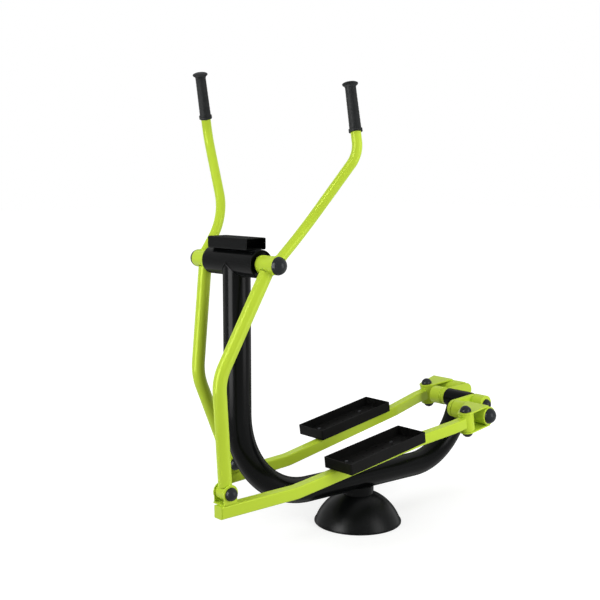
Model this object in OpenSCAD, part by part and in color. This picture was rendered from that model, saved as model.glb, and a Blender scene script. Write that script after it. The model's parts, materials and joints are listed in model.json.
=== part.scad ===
// Outdoor cross trainer: a bent foot tube carries a head tube with two hand levers in front
// and a crank housing behind. Each foot bar joins a lever to a crank pin.
// X runs from the head tube to the cranks, Y across the machine, Z up.
// The origin is the centre of the base flange on the ground. Left is the user's left, at -Y.

/* [Frame] */
// Outer diameter of the bent main tube and of the head tube
tube_d = 88.9; // [70:0.1:110]
// Wall of the main tube and of the head tube
tube_wall = 3; // [2:0.5:6]
// Head tube axis, distance in front of the base centre
head_ahead = 551; // [480:1:620]
// Head tube axis, height above the ground
head_height = 977; // [930:1:1030]
// Length of the head tube
head_len = 248; // [210:1:300]
// Height of the bottom run's centreline above the base centre
run_height = 163; // [150:1:190]
// Slope of the bottom run, front end up
run_tilt = 2; // [0:0.5:4]
// Bend radius between the post and the bottom run
front_bend = 315; // [260:1:360]
// Bend radius between the bottom run and the rear upright
rear_bend = 270; // [220:1:276]
// Slope of the rear upright
rear_slope = 69; // [62:1:76]

/* [Console tube] */
// Width of the rectangular tube on the head tube, front to back
console_w = 79; // [60:1:100]
// Height of the rectangular tube
console_h = 37; // [25:1:50]
// Length of the rectangular tube across the machine
console_len = 195; // [140:1:230]
// Wall of the rectangular tube
console_wall = 3; // [2:0.5:5]

/* [Base] */
// Thickness of the base flange
flange_t = 14; // [8:1:20]
// Pitch circle of the anchor holes
anchor_pcd = 236; // [220:1:250]
// Diameter of an anchor hole
anchor_d = 18; // [12:1:22]
// Outer diameter of the neck tube
neck_d = 114.3; // [90:0.1:125]
// Wall of the neck tube
neck_wall = 4; // [3:0.5:6]
// Diameter of the domed cover at the ground
cover_d = 316; // [306:1:340]
// Height that the dome would have without its neck hole
cover_h = 116; // [106:1:130]
// Wall of the domed cover
cover_wall = 3; // [2:0.5:4]
// Width of the upright lip outside the dome, at the ground
cover_lip_w = 3; // [2:0.5:5]
// Room between the base flange and the inside of the cover
flange_room = 7; // [5:0.5:12]
// Thickness of a rib on the flange
rib_t = 8; // [5:1:10]

/* [Crank] */
// Crank axle, distance behind the base centre
crank_behind = 571.6; // [540:0.1:600]
// Crank axle, height above the ground
crank_height = 364.2; // [340:0.1:390]
// Throw of each crank, axle to pin
crank_throw = 118; // [105:1:130]
// Turn of the cranks from level at rest
crank_rest = 3; // [0:0.5:6]
// Outer diameter of the crank housing
housing_d = 70; // [68:1:78]
// Length of the crank housing
housing_len = 113.4; // [100:0.1:116]
// Diameter of the crank axle
axle_d = 30; // [25:1:32]
// Outer diameter of a crank bearing
bearing_d = 62; // [56:1:63]
// Width of a crank bearing
bearing_w = 16; // [12:1:20]
// Thickness of a crank arm
arm_t = 15; // [10:1:16]
// Radius of the round ends of a crank arm
arm_r = 32; // [28:1:36]
// Diameter of the crank hub outside the arm
crank_hub_d = 69; // [56:1:72]
// Length of the crank hub
crank_hub_len = 53; // [40:1:60]

/* [Hand levers] */
// Lever pivot to front pivot, at the foot bar
lever_r = 702; // [680:1:725]
// Outer diameter of the lever hub
hub_d = 57; // [52:1:64]
// Length of the lever hub
hub_len = 78.5; // [70:0.5:90]
// Diameter of the head shaft
shaft_d = 30; // [24:1:32]
// Outer diameter of the lower arm
arm_d = 42.4; // [38:0.1:42.8]
// Wall of the lower arm and of the handle
lever_wall = 2.6; // [2:0.1:4]
// Outer diameter of the handle tube
handle_d = 32; // [28:0.5:34]
// Length of the hand grip
grip_len = 152; // [120:1:158]
// Outer diameter of the hand grip body
grip_d = 38; // [37:0.5:44]

/* [Foot bars] */
// Front pivot to crank pin
bar_len = 1167; // [1157:0.5:1177]
// Width of the square bar
bar_w = 36; // [32:1:40]
// Height of the square bar
bar_h = 40; // [36:1:44]
// Wall of the square bar
bar_wall = 3; // [2:0.5:5]
// Distance of the bar from the middle plane at its front end
bar_side = 149; // [145:1:156]
// Distance of the bar from the middle plane where it starts to spread
spread_side = 176; // [170:1:184]
// Distance of the bar from the middle plane at its swivel
swivel_side = 197; // [192:1:206]
// Front pivot above the centreline of the bar
pivot_rise = 53.5; // [52:0.5:60]
// Diameter of the pivot pins and swivel bolts
pin_d = 16; // [12:1:18]

/* [Pedals] */
// Length of a pedal tray
pedal_len = 365; // [320:1:390]
// Width of a pedal tray
pedal_w = 129; // [110:1:140]
// Height of the walls of a pedal tray
pedal_h = 38; // [25:1:45]
// Wall of a pedal tray
pedal_wall = 3.5; // [2.5:0.5:6]
// Thickness of a pedal tray's floor
pedal_floor = 4; // [3:0.5:5]
// Diameter of a pedal bolt
pedal_bolt_d = 8; // [6:0.5:10]
// Pedal centre, distance behind the front pivot along the bar
pedal_at = 605; // [585:1:615]
// Pedal centre, distance from the middle plane
pedal_side = 195; // [190:1:200]

/* [Swivels] */
// Swivel axis to crank pin axis
swivel_len = 85.5; // [78:0.5:92]
// Tilt of the swivel axis against the bar line
swivel_tilt = 6.5; // [0:0.5:10]
// Outer diameter of the tube round the crank pin
pin_tube_d = 68; // [62:1:72]
// Wall of the tube round the crank pin
pin_tube_wall = 6; // [4:0.5:8]
// Length of the tube round the crank pin
pin_tube_len = 158; // [150:1:170]
// Thickness of a swivel plate
plate_t = 6; // [4:1:8]
// Reach of a swivel plate towards the middle plane, from the swivel axis
plate_reach = 66; // [50:1:90]
// Diameter of the swivel boss
boss_d = 56; // [50:1:58]
// Diameter of a bolt cap
cap_d = 42; // [38:1:46]
// Height of the dome of a bolt cap
cap_h = 19; // [15:0.5:19]
// Diameter of the cap over the crank pin
pin_cap_d = 58.5; // [57:0.5:62]
// Height of the dome of the cap over the crank pin
pin_cap_h = 23; // [18:0.5:28]

/* [Fits] */
// Radial running clearance of a shaft in its bush
run_gap = 0.05; // [0.02:0.01:0.1]
// Clearance of pieces that are welded, pressed or bolted together
seat_gap = 0.1; // [0.05:0.05:0.2]
// Side clearance between pieces that turn against each other
side_gap = 0.6; // [0.4:0.1:1]

/* [Hidden] */
$fn = 72;

green = [0.70, 0.82, 0.17];
black = [0.09, 0.10, 0.11];
rubber = [0.13, 0.13, 0.14];
steel = [0.62, 0.64, 0.66];
nylon = [0.85, 0.84, 0.78];

eps = 0.01;
big = 2000;
tube_r = tube_d / 2;
housing_r = housing_d / 2;
hub_r = hub_d / 2;
handle_r = handle_d / 2;
lower_r = arm_d / 2;
pin_r = pin_d / 2;
cap_r = cap_d / 2;
pin_tube_r = pin_tube_d / 2;

// Places of the fixed axes as [X, Z]
head = [-head_ahead, head_height];
axle = [crank_behind, crank_height];

// Sizes of the hidden pieces
cover_in_r = cover_d / 2 - cover_lip_w - cover_wall;
flange_d = 2 * (cover_in_r - flange_room);
nut_flats = 1.5 * pin_d;
nut_t = 0.6 * pin_d;
shaft_nut_flats = 1.15 * shaft_d;
shaft_nut_t = 10;
hub_bore_r = shaft_nut_flats / sqrt(3) + 1;
hub_recess = 16;
bush_len = 24;

// Fork of the front pivot and the barrel that turns in it
ear_t = 4;
ear_r = 28;
ear_gap = arm_d + 2 * side_gap;
barrel_d = 46;
barrel_len = ear_gap - 2 * side_gap;

// Sideways places, measured from the middle plane
hub_in = head_len / 2 + side_gap;
hub_out = hub_in + hub_len;
arm_in = housing_len / 2 + 3.3;
arm_out = arm_in + arm_t;
crank_hub_out = arm_out + crank_hub_len;
pin_tube_in = arm_out + 4;
pin_tube_out = pin_tube_in + pin_tube_len;
lower_side = hub_in + 0.5 * hub_len;
pivot_side = bar_side + bar_w / 2 - ear_t - ear_gap / 2;
handle_side = hub_out - handle_r - 1;

// Lever points in a frame whose origin is the head axis and whose front pivot hangs straight down
elbow = [-98, 138, -366];
elbow_bend = 150;
handle_points = [
    [0, handle_side, 0], [100, handle_side - 12, 126], [159, 298, 382], [117, 252, 594],
];
handle_bends = [240, 96];

// Foot bar points along the line from the front pivot to the crank pin
front_slope = -3;
knee_at = 265;
knee_bend = 220;
bar_front = 32.5;
spread_from = 850;
spread_to = 1010;
spread_bend = 220;

function unit(v) = v / norm(v);
function turn(p, a) = [p[0] * cos(a) - p[1] * sin(a), p[0] * sin(a) + p[1] * cos(a)];
function at(v, x) = [v[0], x, v[1]];

// Rest places of the linkage: the left crank points forward and the right one backward
function pin_place(side) = axle + turn([(side == "left" ? -1 : 1) * crank_throw, 0], crank_rest);

// Angle of the lever at which its front pivot is one bar length from the crank pin
function lever_turn(side) =
    let (v = pin_place(side) - head, d = norm(v))
    atan2(v[1], v[0]) - acos((lever_r * lever_r + d * d - bar_len * bar_len) / (2 * lever_r * d)) + 90;
function pivot_place(side) = head + lever_r * [sin(lever_turn(side)), -cos(lever_turn(side))];
function bar_turn(side) =
    let (v = pin_place(side) - pivot_place(side)) atan2(v[1], v[0]);

// Swivel centre in the bar's own line, and the bar's slope from its knee to the swivel
swivel = [bar_len, 0] - turn([swivel_len, 0], swivel_tilt);
front_foot = turn([0, -pivot_rise], front_slope);
knee = front_foot + turn([knee_at - front_foot[0], 0], front_slope) / cos(front_slope);
back_slope = atan2(swivel[1] - knee[1], swivel[0] - knee[0]);
pedal_foot = knee + turn([(pedal_at - knee[0]) / cos(back_slope), 0], back_slope);

// Helpers for sides and places
module on_side(side) {
    if (side == "left") mirror([0, 1, 0]) children();
    else children();
}
module in_plane(place, a = 0) {
    translate([place[0], 0, place[1]]) rotate([0, -a, 0]) children();
}
module on_lever(side) {
    on_side(side) in_plane(head, lever_turn(side)) children();
}
module on_bar(side) {
    on_side(side) in_plane(pivot_place(side), bar_turn(side)) children();
}
module on_clevis(side) {
    on_bar(side) in_plane(swivel, swivel_tilt) translate([0, swivel_side, 0]) children();
}

// A round bar along Y from y0 to y1
module across(r, y0, y1, fn = $fn) {
    translate([0, y0, 0]) rotate([-90, 0, 0]) cylinder(r = r, h = y1 - y0, $fn = fn);
}

// A round bar from point a to point b
module rod(a, b, r) {
    d = b - a;
    translate(a) rotate([0, acos(d[2] / norm(d)), atan2(d[1], d[0])]) cylinder(r = r, h = norm(d));
}

// Tangent length of a bend of radius bend at the corner b
function corner_angle(a, b, c) = acos(unit(a - b) * unit(c - b));
function tangent(a, b, c, bend) = bend / tan(corner_angle(a, b, c) / 2);

// Straight runs reach this far into a bend, and a bend is this much wider than a straight run
lap = 1.5;
swell = 0.1;

// The bent stretch of a tube at the corner b
module elbow_piece(a, b, c, bend, r) {
    t = tangent(a, b, c, bend);
    p = b + unit(a - b) * t;
    q = b + unit(c - b) * t;
    centre = b + unit(unit(a - b) + unit(c - b)) * bend / sin(corner_angle(a, b, c) / 2);
    e1 = unit(p - centre);
    e3 = unit(cross(e1, unit(q - centre)));
    e2 = cross(e3, e1);
    multmatrix([
        [e1[0], e2[0], e3[0], centre[0]],
        [e1[1], e2[1], e3[1], centre[1]],
        [e1[2], e2[2], e3[2], centre[2]],
        [0, 0, 0, 1],
    ])
        rotate_extrude(angle = 180 - corner_angle(a, b, c)) translate([bend, 0]) circle(r = r + swell);
}

// A round bar through points with a bend at each inner point
module bent_rod(points, bends, r, over = 0) {
    last = len(points) - 1;
    for (i = [0 : last - 1]) {
        a = points[i];
        b = points[i + 1];
        dir = unit(b - a);
        back = i == 0 ? -over : tangent(points[i - 1], a, b, bends[i - 1]) - lap;
        ahead = i == last - 1 ? -over : tangent(a, b, points[i + 2], bends[i]) - lap;
        rod(a + dir * back, b - dir * ahead, r);
    }
    for (i = [1 : last - 1])
        elbow_piece(points[i - 1], points[i], points[i + 1], bends[i - 1], r);
}
module bent_tube(points, bends, r, wall) {
    difference() {
        bent_rod(points, bends, r);
        bent_rod(points, bends, r - wall, 1);
    }
}

// A flat strip of width w along points, with one bend radius
module strip(points, bend, w, over = 0) {
    last = len(points) - 1;
    for (i = [0 : last - 1]) {
        a = points[i];
        b = points[i + 1];
        dir = unit(b - a);
        back = i == 0 ? -over : tangent(points[i - 1], a, b, bend) - lap;
        ahead = i == last - 1 ? -over : tangent(a, b, points[i + 2], bend) - lap;
        translate(a + dir * back) rotate(atan2(dir[1], dir[0]))
            translate([0, -w / 2]) square([norm(b - a) - back - ahead, w]);
    }
    for (i = [1 : last - 1]) strip_bend(points[i - 1], points[i], points[i + 1], bend, w);
}
module strip_bend(a, b, c, bend, w) {
    t = tangent(a, b, c, bend);
    centre = b + unit(unit(a - b) + unit(c - b)) * bend / sin(corner_angle(a, b, c) / 2);
    wedge = [for (p = [centre, b + unit(a - b) * t, b, b + unit(c - b) * t]) 2 * p - centre];
    intersection() {
        translate(centre) difference() {
            circle(r = bend + w / 2 + swell, $fn = 360);
            circle(r = bend - w / 2 - swell, $fn = 360);
        }
        polygon(wedge);
    }
}

// A domed cap on the XY plane, rising along Z to height h, with a short upright rim
module dome(r, h, rim = 2) {
    ball = (r * r + h * h) / (2 * h);
    rotate_extrude() intersection() {
        translate([0, rim + h - ball]) circle(r = ball);
        square([r, rim + h]);
    }
}

// A bolt cap with room for its nut
module bolt_cap() {
    difference() {
        dome(cap_r, cap_h);
        translate([0, 0, -eps]) cylinder(r = nut_flats / sqrt(3) + 0.6, h = nut_t + 1);
    }
}

// A bolt along Z with a hex nut outside each of the faces at -half and half
module bolt(half) {
    cylinder(r = pin_r, h = 2 * half, center = true);
    for (s = [0, 1]) mirror([0, 0, s]) translate([0, 0, half])
        cylinder(r = nut_flats / sqrt(3), h = nut_t, $fn = 6);
}

// Frame
front_foot_z = run_height - head[0] * tan(run_tilt);
rear_foot_x = (run_height - axle[1] + axle[0] * tan(rear_slope)) / (tan(rear_slope) + tan(run_tilt));
rear_foot_z = run_height - rear_foot_x * tan(run_tilt);
rear_dir = [cos(rear_slope), sin(rear_slope)];
rear_end = axle - rear_dir * (housing_r - 6);
rear_room = (rear_end[1] - rear_foot_z) / sin(rear_slope) - 2 * lap;
frame_points = [
    at(head - [0, 3], 0), [head[0], 0, front_foot_z], [rear_foot_x, 0, rear_foot_z],
    at(rear_end, 0),
];
frame_bends = [front_bend, min(rear_bend, rear_room / tan((rear_slope + run_tilt) / 2))];

module frame_tube() {
    color(black) difference() {
        bent_tube(frame_points, frame_bends, tube_r, tube_wall);
        in_plane(head - [0, seat_gap]) across(tube_r, -head_len, head_len);
        in_plane(axle) across(housing_r + seat_gap, -housing_len, housing_len);
    }
}

// Plates that close the tube beside the housing
module end_plates() {
    color(black) difference() {
        in_plane(rear_end, rear_slope) translate([-plate_t, 0, 0]) rotate([0, 90, 0])
            cylinder(r = tube_r - tube_wall - seat_gap, h = plate_t);
        in_plane(axle) across(housing_r + seat_gap, -housing_len, housing_len);
    }
}

module head_tube() {
    color(black) in_plane(head) difference() {
        across(tube_r, -head_len / 2, head_len / 2);
        across(tube_r - tube_wall, -head_len / 2 + head_plate_t, head_len / 2 - head_plate_t);
        across(shaft_d / 2 + seat_gap, -head_len, head_len);
    }
}
head_plate_t = 8;

module console_tube() {
    z = tube_r - console_wall * 0.6;
    color(black) in_plane(head) difference() {
        translate([-console_w / 2, -console_len / 2, z]) cube([console_w, console_len, console_h]);
        translate([console_wall - console_w / 2, -console_len, z + console_wall])
            cube([console_w - 2 * console_wall, 2 * console_len, console_h - 2 * console_wall]);
        across(tube_r + seat_gap, -head_len, head_len);
    }
}

neck_top = run_height - 0.62 * tube_r;
module neck_tube() {
    color(black) difference() {
        translate([0, 0, flange_t]) cylinder(d = neck_d, h = neck_top - flange_t);
        cylinder(d = neck_d - 2 * neck_wall, h = neck_top - neck_wall);
        in_plane([0, run_height], -run_tilt) rotate([0, 90, 0])
            cylinder(r = tube_r + seat_gap, h = big, center = true);
    }
}

module base_flange() {
    color(black) difference() {
        cylinder(d = flange_d, h = flange_t, $fn = 120);
        for (a = [45 : 90 : 315]) rotate(a) translate([anchor_pcd / 2, 0, -1])
            cylinder(d = anchor_d, h = flange_t + 2);
        translate([0, 0, -1]) cylinder(d = 0.5 * neck_d, h = flange_t + 2);
    }
}

module base_ribs() {
    reach = flange_d / 2 - neck_d / 2 - 6;
    rise = 0.55 * cover_h;
    color(black) for (a = [0 : 90 : 270]) rotate(a) difference() {
        translate([0, rib_t / 2, 0]) rotate([90, 0, 0]) linear_extrude(height = rib_t)
            polygon([
                [neck_d / 2 - 4, flange_t], [neck_d / 2 + reach, flange_t],
                [neck_d / 2 + reach, flange_t + 8], [neck_d / 2 + 0.3 * reach, flange_t + rise],
                [neck_d / 2 - 4, flange_t + rise],
            ]);
        cylinder(d = neck_d + 2 * seat_gap, h = big);
    }
}

// Dome of the base cover: an arc of a circle from the ground lip to the neck
module cover_profile(r, h) {
    ball = (r * r + h * h) / (2 * h);
    intersection() {
        translate([0, h - ball]) circle(r = ball, $fn = 180);
        square([r, h]);
    }
}
cover_lip = 6;
module base_cover() {
    hole_r = neck_d / 2 + 0.2;
    color(black) rotate_extrude($fn = 120) difference() {
        union() {
            translate([0, cover_lip]) cover_profile(cover_d / 2 - cover_lip_w, cover_h - cover_lip);
            square([cover_d / 2, cover_lip]);
        }
        translate([0, cover_lip - eps]) cover_profile(cover_in_r, cover_h - cover_lip - cover_wall);
        translate([0, -eps]) square([cover_in_r, cover_lip]);
        square([hole_r, big]);
    }
}

module head_shaft() {
    color(steel) in_plane(head) across(shaft_d / 2, -hub_out + 3, hub_out - 3);
}
module head_nuts() {
    color(steel) in_plane(head) for (s = [0, 1]) mirror([0, s, 0]) difference() {
        union() {
            across(shaft_nut_flats / sqrt(3), hub_out - hub_recess + 2.5,
                hub_out - hub_recess + 2.5 + shaft_nut_t, 6);
            across(hub_bore_r - 0.6, hub_out - hub_recess + 0.3, hub_out - hub_recess + 2.5);
        }
        across(shaft_d / 2 + seat_gap, 0, big);
    }
}

module crank_housing() {
    color(black) in_plane(axle) difference() {
        across(housing_r, -housing_len / 2, housing_len / 2);
        across(bearing_d / 2 - 3, -housing_len, housing_len);
        for (s = [0, 1]) mirror([0, s, 0])
            across(bearing_d / 2, housing_len / 2 - bearing_w - 1, housing_len);
    }
}
module crank_bearings() {
    y0 = housing_len / 2 - bearing_w - 1;
    color(steel) in_plane(axle) for (s = [0, 1]) mirror([0, s, 0]) difference() {
        across(bearing_d / 2 - seat_gap, y0, y0 + bearing_w);
        across(axle_d / 2 + run_gap, 0, big);
        translate([0, y0 + bearing_w - 1, 0]) rotate([-90, 0, 0]) difference() {
            cylinder(r = bearing_d / 2 - 4, h = 2);
            translate([0, 0, -1]) cylinder(r = axle_d / 2 + 4, h = 4);
        }
    }
}

// Crank
module crank_axle() {
    color(steel) in_plane(axle) across(axle_d / 2, -crank_hub_out + 1, crank_hub_out - 1);
}
module crank_arm(side) {
    dir = side == "left" ? -1 : 1;
    color(green) on_side(side) in_plane(axle, crank_rest) translate([0, arm_out, 0]) rotate([90, 0, 0])
        linear_extrude(height = arm_t) difference() {
            union() {
                circle(r = arm_r);
                translate([dir * crank_throw, 0]) circle(r = arm_r);
                translate([min(0, dir * crank_throw), -arm_r]) square([crank_throw, 2 * arm_r]);
            }
            circle(r = axle_d / 2 + seat_gap);
        }
}
module crank_hubs() {
    groove = 2;
    r = crank_hub_d / 2;
    color(green) in_plane(axle) for (s = [0, 1]) mirror([0, s, 0]) difference() {
        across(r, arm_out, crank_hub_out);
        across(axle_d / 2 + seat_gap, 0, big);
        translate([0, arm_out + 5, 0]) rotate([-90, 0, 0]) difference() {
            cylinder(r = r + 1, h = groove);
            translate([0, 0, -1]) cylinder(r = r - groove, h = groove + 2);
        }
        translate([0, arm_out - 1, 0]) rotate([-90, 0, 0]) difference() {
            cylinder(r = r - 7, h = crank_hub_len - 7);
            translate([0, 0, -1]) cylinder(r = axle_d / 2 + 6, h = crank_hub_len);
        }
    }
}
module crank_caps() {
    color(rubber) in_plane(axle) for (s = [0, 1]) mirror([0, s, 0])
        translate([0, crank_hub_out, 0]) rotate([-90, 0, 0]) dome(cap_r, cap_h);
}

// Hand levers
module lever_hub(side) {
    color(green) on_lever(side) difference() {
        across(hub_r, hub_in, hub_out);
        across(hub_bore_r, 0, big);
    }
}
module hub_bushes(side) {
    color(nylon) on_lever(side)
        for (y = [hub_in, hub_out - hub_recess - bush_len]) difference() {
            across(hub_bore_r - seat_gap, y, y + bush_len);
            across(shaft_d / 2 + run_gap, 0, big);
        }
}
module handle(side) {
    color(green) on_lever(side) difference() {
        bent_tube(handle_points, handle_bends, handle_r, lever_wall);
        across(hub_r + seat_gap, 0, big);
    }
}

// Grip in its own frame: origin at the handle's end, Z pointing down the handle
module grip_profile() {
    r = grip_d / 2;
    flange_r = r + 6;
    collar_r = r + 2.5;
    translate([0, -4]) square([flange_r - 3, 8]);
    translate([0, -1]) square([flange_r, 6]);
    polygon([[0, 5], [flange_r, 5], [r, 16], [0, 16]]);
    translate([0, 16]) square([r, grip_len - 16]);
    translate([0, grip_len - 14]) square([collar_r, 8]);
    for (z = [30 : 12 : grip_len - 28]) translate([0, z]) square([r + 0.7, 7]);
}
module grip(side) {
    last = len(handle_points) - 1;
    top = handle_points[last];
    d = handle_points[last - 1] - top;
    color(rubber) on_lever(side) translate(top)
        rotate([0, acos(d[2] / norm(d)), atan2(d[1], d[0])]) difference() {
            rotate_extrude() grip_profile();
            cylinder(r = handle_r + seat_gap, h = big);
        }
}

module lower_arm(side) {
    foot = [0, pivot_side, -lever_r];
    color(green) on_lever(side) {
        difference() {
            bent_tube([[0, lower_side, 0], elbow, foot], [elbow_bend], lower_r, lever_wall);
            across(hub_r + seat_gap, 0, big);
            translate(foot) across(barrel_d / 2 - 1, -pivot_side, big);
        }
        translate(foot) difference() {
            across(barrel_d / 2, -barrel_len / 2, barrel_len / 2);
            across(barrel_d / 2 - 5, -big, big);
        }
    }
}
module pivot_bush(side) {
    color(nylon) on_lever(side) translate([0, pivot_side, -lever_r]) difference() {
        across(barrel_d / 2 - 5 - seat_gap, -barrel_len / 2, barrel_len / 2);
        across(pin_r + run_gap, -big, big);
    }
}
module hub_cap(side) {
    color(rubber) on_lever(side) translate([0, hub_out, 0]) rotate([-90, 0, 0]) {
        dome(hub_r, 0.86 * hub_r, 1);
    }
}

// Foot bars, in a frame with its origin at the front pivot and X towards the crank pin
bar_side_points = [
    front_foot + turn([-bar_front, 0], front_slope), knee, swivel,
];
bar_plan_points = [
    [-60, bar_side], [spread_from, spread_side], [spread_to, swivel_side], [bar_len, swivel_side],
];
module bar_solid(inset, over) {
    intersection() {
        translate([0, big / 2, 0]) rotate([90, 0, 0]) linear_extrude(height = big)
            strip(bar_side_points, knee_bend, bar_h - 2 * inset, over);
        translate([0, 0, -big / 2]) linear_extrude(height = big)
            strip(bar_plan_points, spread_bend, bar_w - 2 * inset);
    }
}
pedal_pad_t = 4;
module foot_bar(side) {
    color(green) on_bar(side) {
        difference() {
            bar_solid(0, 0);
            bar_solid(bar_wall, 1);
            in_plane(swivel, swivel_tilt) translate([0, swivel_side, -big / 2])
                cylinder(d = boss_d + 2 * seat_gap, h = big);
            in_plane(swivel, swivel_tilt) translate([0, 0, -big / 2]) cube([big, big, big]);
        }
        for (x = [-0.3, 0.3]) on_pedal()
            translate([x * pedal_len - 25, -pedal_w * 0.36, -pedal_pad_t - 0.5])
                cube([50, pedal_w * 0.72, pedal_pad_t + 0.5 - seat_gap]);
    }
}

// Pedal frame: origin at the middle of the tray's underside
module on_pedal() {
    in_plane(pedal_foot + turn([0, bar_h / 2 + pedal_pad_t], back_slope), back_slope)
        translate([0, pedal_side, 0]) children();
}
module pedal_bolt_places() {
    for (x = [-0.3, 0.3], y = [-0.27, 0.27])
        translate([x * pedal_len, y * pedal_w, 0]) children();
}
module pedal(side) {
    color(black) on_bar(side) on_pedal() difference() {
        translate([-pedal_len / 2, -pedal_w / 2, 0]) cube([pedal_len, pedal_w, pedal_h]);
        translate([pedal_wall - pedal_len / 2, pedal_wall - pedal_w / 2, pedal_floor])
            cube([pedal_len - 2 * pedal_wall, pedal_w - 2 * pedal_wall, pedal_h]);
        pedal_bolt_places() translate([0, 0, -1])
            cylinder(r = pedal_bolt_d / 2 + seat_gap, h = pedal_floor + 2);
    }
}
module pedal_bolts(side) {
    color(steel) on_bar(side) on_pedal() pedal_bolt_places() {
        translate([0, 0, pedal_floor + eps])
            dome(0.875 * pedal_bolt_d, 0.375 * pedal_bolt_d, 0.125 * pedal_bolt_d);
        translate([0, 0, -seat_gap / 2]) cylinder(r = pedal_bolt_d / 2, h = pedal_floor + 1);
    }
}
module bar_end(side) {
    color(green) on_bar(side) in_plane(bar_side_points[0], front_slope)
        translate([-3.5, bar_side - bar_w / 2, -bar_h / 2]) cube([3.4, bar_w, bar_h]);
}

module on_pivot() {
    rotate([0, -front_slope, 0]) translate([0, pivot_side, 0]) children();
}
module front_bracket(side) {
    seat = bar_h / 2 - pivot_rise;
    color(green) on_bar(side) on_pivot() difference() {
        union() {
            translate([-ear_r, -ear_gap / 2 - ear_t, seat + seat_gap])
                cube([2 * ear_r, ear_gap + 2 * ear_t, ear_t]);
            for (y = [-ear_gap / 2 - ear_t, ear_gap / 2]) {
                across(ear_r, y, y + ear_t);
                translate([-ear_r + 3, y, seat + 1]) cube([2 * ear_r - 6, ear_t, -seat - 1]);
            }
        }
        across(pin_r + seat_gap, -big, big);
        translate([-big / 2, -big / 2, seat + seat_gap - big]) cube([big, big, big]);
    }
}
module front_pin(side) {
    color(steel) on_bar(side) on_pivot() rotate([90, 0, 0]) bolt(ear_gap / 2 + ear_t + seat_gap);
}
module front_caps(side) {
    color(rubber) on_bar(side) on_pivot() for (s = [0, 1]) mirror([0, s, 0])
        translate([0, ear_gap / 2 + ear_t + seat_gap, 0]) rotate([-90, 0, 0]) bolt_cap();
}

// Swivels, in a frame with its origin at the swivel centre and X towards the crank pin
boss_half = pin_tube_r - side_gap;
module swivel_boss(side) {
    color(green) on_clevis(side) difference() {
        cylinder(d = boss_d, h = 2 * boss_half, center = true);
        cylinder(r = pin_r + run_gap, h = big, center = true);
    }
}
swivel_plate_r = boss_d / 2 + 1.5;

// Point where a line from q touches the circle of radius r about the origin
function touch(q, r, s) = turn(unit(q) * r, s * acos(r / norm(q)));
module plate_outline() {
    near = [swivel_len + 4, -plate_reach];
    far = [swivel_len + 4, pin_tube_out - swivel_side - 3];
    r = swivel_plate_r - 0.1;
    circle(r = swivel_plate_r);
    polygon([[0, 0], touch(near, r, -1), near, far, touch(far, r, 1)]);
}
module clevis(side) {
    color(green) on_clevis(side) for (s = [0, 1]) mirror([0, 0, s])
        translate([0, 0, pin_tube_r]) difference() {
            linear_extrude(height = plate_t) plate_outline();
            translate([0, 0, -1]) cylinder(r = pin_r + seat_gap, h = plate_t + 2);
        }
}
module pin_tube(side) {
    y0 = pin_tube_in - swivel_side;
    color(green) on_clevis(side) translate([swivel_len, 0, 0]) difference() {
        across(pin_tube_r, y0, y0 + pin_tube_len);
        across(pin_tube_r - pin_tube_wall, -big, big);
    }
}
module crank_pin(side) {
    y0 = pin_tube_in - swivel_side;
    r = pin_tube_r - pin_tube_wall - seat_gap;
    color(steel) on_clevis(side) translate([swivel_len, 0, 0]) {
        across(12.5, y0, y0 + pin_tube_len - 1);
        for (y = [y0 + 3, y0 + pin_tube_len - 21]) across(r, y, y + 18);
    }
}
module swivel_bolt(side) {
    color(steel) on_clevis(side) bolt(pin_tube_r + plate_t + seat_gap);
}
module swivel_caps(side) {
    color(rubber) on_clevis(side) for (s = [0, 1]) mirror([0, 0, s])
        translate([0, 0, pin_tube_r + plate_t + seat_gap]) bolt_cap();
}
module pin_cap(side) {
    color(rubber) on_clevis(side) translate([swivel_len, pin_tube_out - swivel_side, 0])
        rotate([-90, 0, 0]) dome(pin_cap_d / 2, pin_cap_h, 1);
}

frame_tube();
end_plates();
head_tube();
console_tube();
neck_tube();
base_flange();
base_ribs();
base_cover();
head_shaft();
head_nuts();
crank_housing();
crank_bearings();
crank_axle();
crank_arm("left");  // crank_arm_left
crank_arm("right");  // crank_arm_right
crank_hubs();
crank_caps();
lever_hub("left");  // lever_hub_left
lever_hub("right");  // lever_hub_right
hub_bushes("left");  // hub_bushes_left
hub_bushes("right");  // hub_bushes_right
handle("left");  // handle_left
handle("right");  // handle_right
grip("left");  // grip_left
grip("right");  // grip_right
lower_arm("left");  // lower_arm_left
lower_arm("right");  // lower_arm_right
pivot_bush("left");  // pivot_bush_left
pivot_bush("right");  // pivot_bush_right
hub_cap("left");  // hub_cap_left
hub_cap("right");  // hub_cap_right
foot_bar("left");  // foot_bar_left
foot_bar("right");  // foot_bar_right
bar_end("left");  // bar_end_left
bar_end("right");  // bar_end_right
front_bracket("left");  // front_bracket_left
front_bracket("right");  // front_bracket_right
front_pin("left");  // front_pin_left
front_pin("right");  // front_pin_right
front_caps("left");  // front_caps_left
front_caps("right");  // front_caps_right
pedal("left");  // pedal_left
pedal("right");  // pedal_right
pedal_bolts("left");  // pedal_bolts_left
pedal_bolts("right");  // pedal_bolts_right
swivel_boss("left");  // swivel_boss_left
swivel_boss("right");  // swivel_boss_right
clevis("left");  // clevis_left
clevis("right");  // clevis_right
pin_tube("left");  // pin_tube_left
pin_tube("right");  // pin_tube_right
swivel_bolt("left");  // swivel_bolt_left
swivel_bolt("right");  // swivel_bolt_right
swivel_caps("left");  // swivel_caps_left
swivel_caps("right");  // swivel_caps_right
crank_pin("left");  // crank_pin_left
crank_pin("right");  // crank_pin_right
pin_cap("left");  // pin_cap_left
pin_cap("right");  // pin_cap_right
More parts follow.
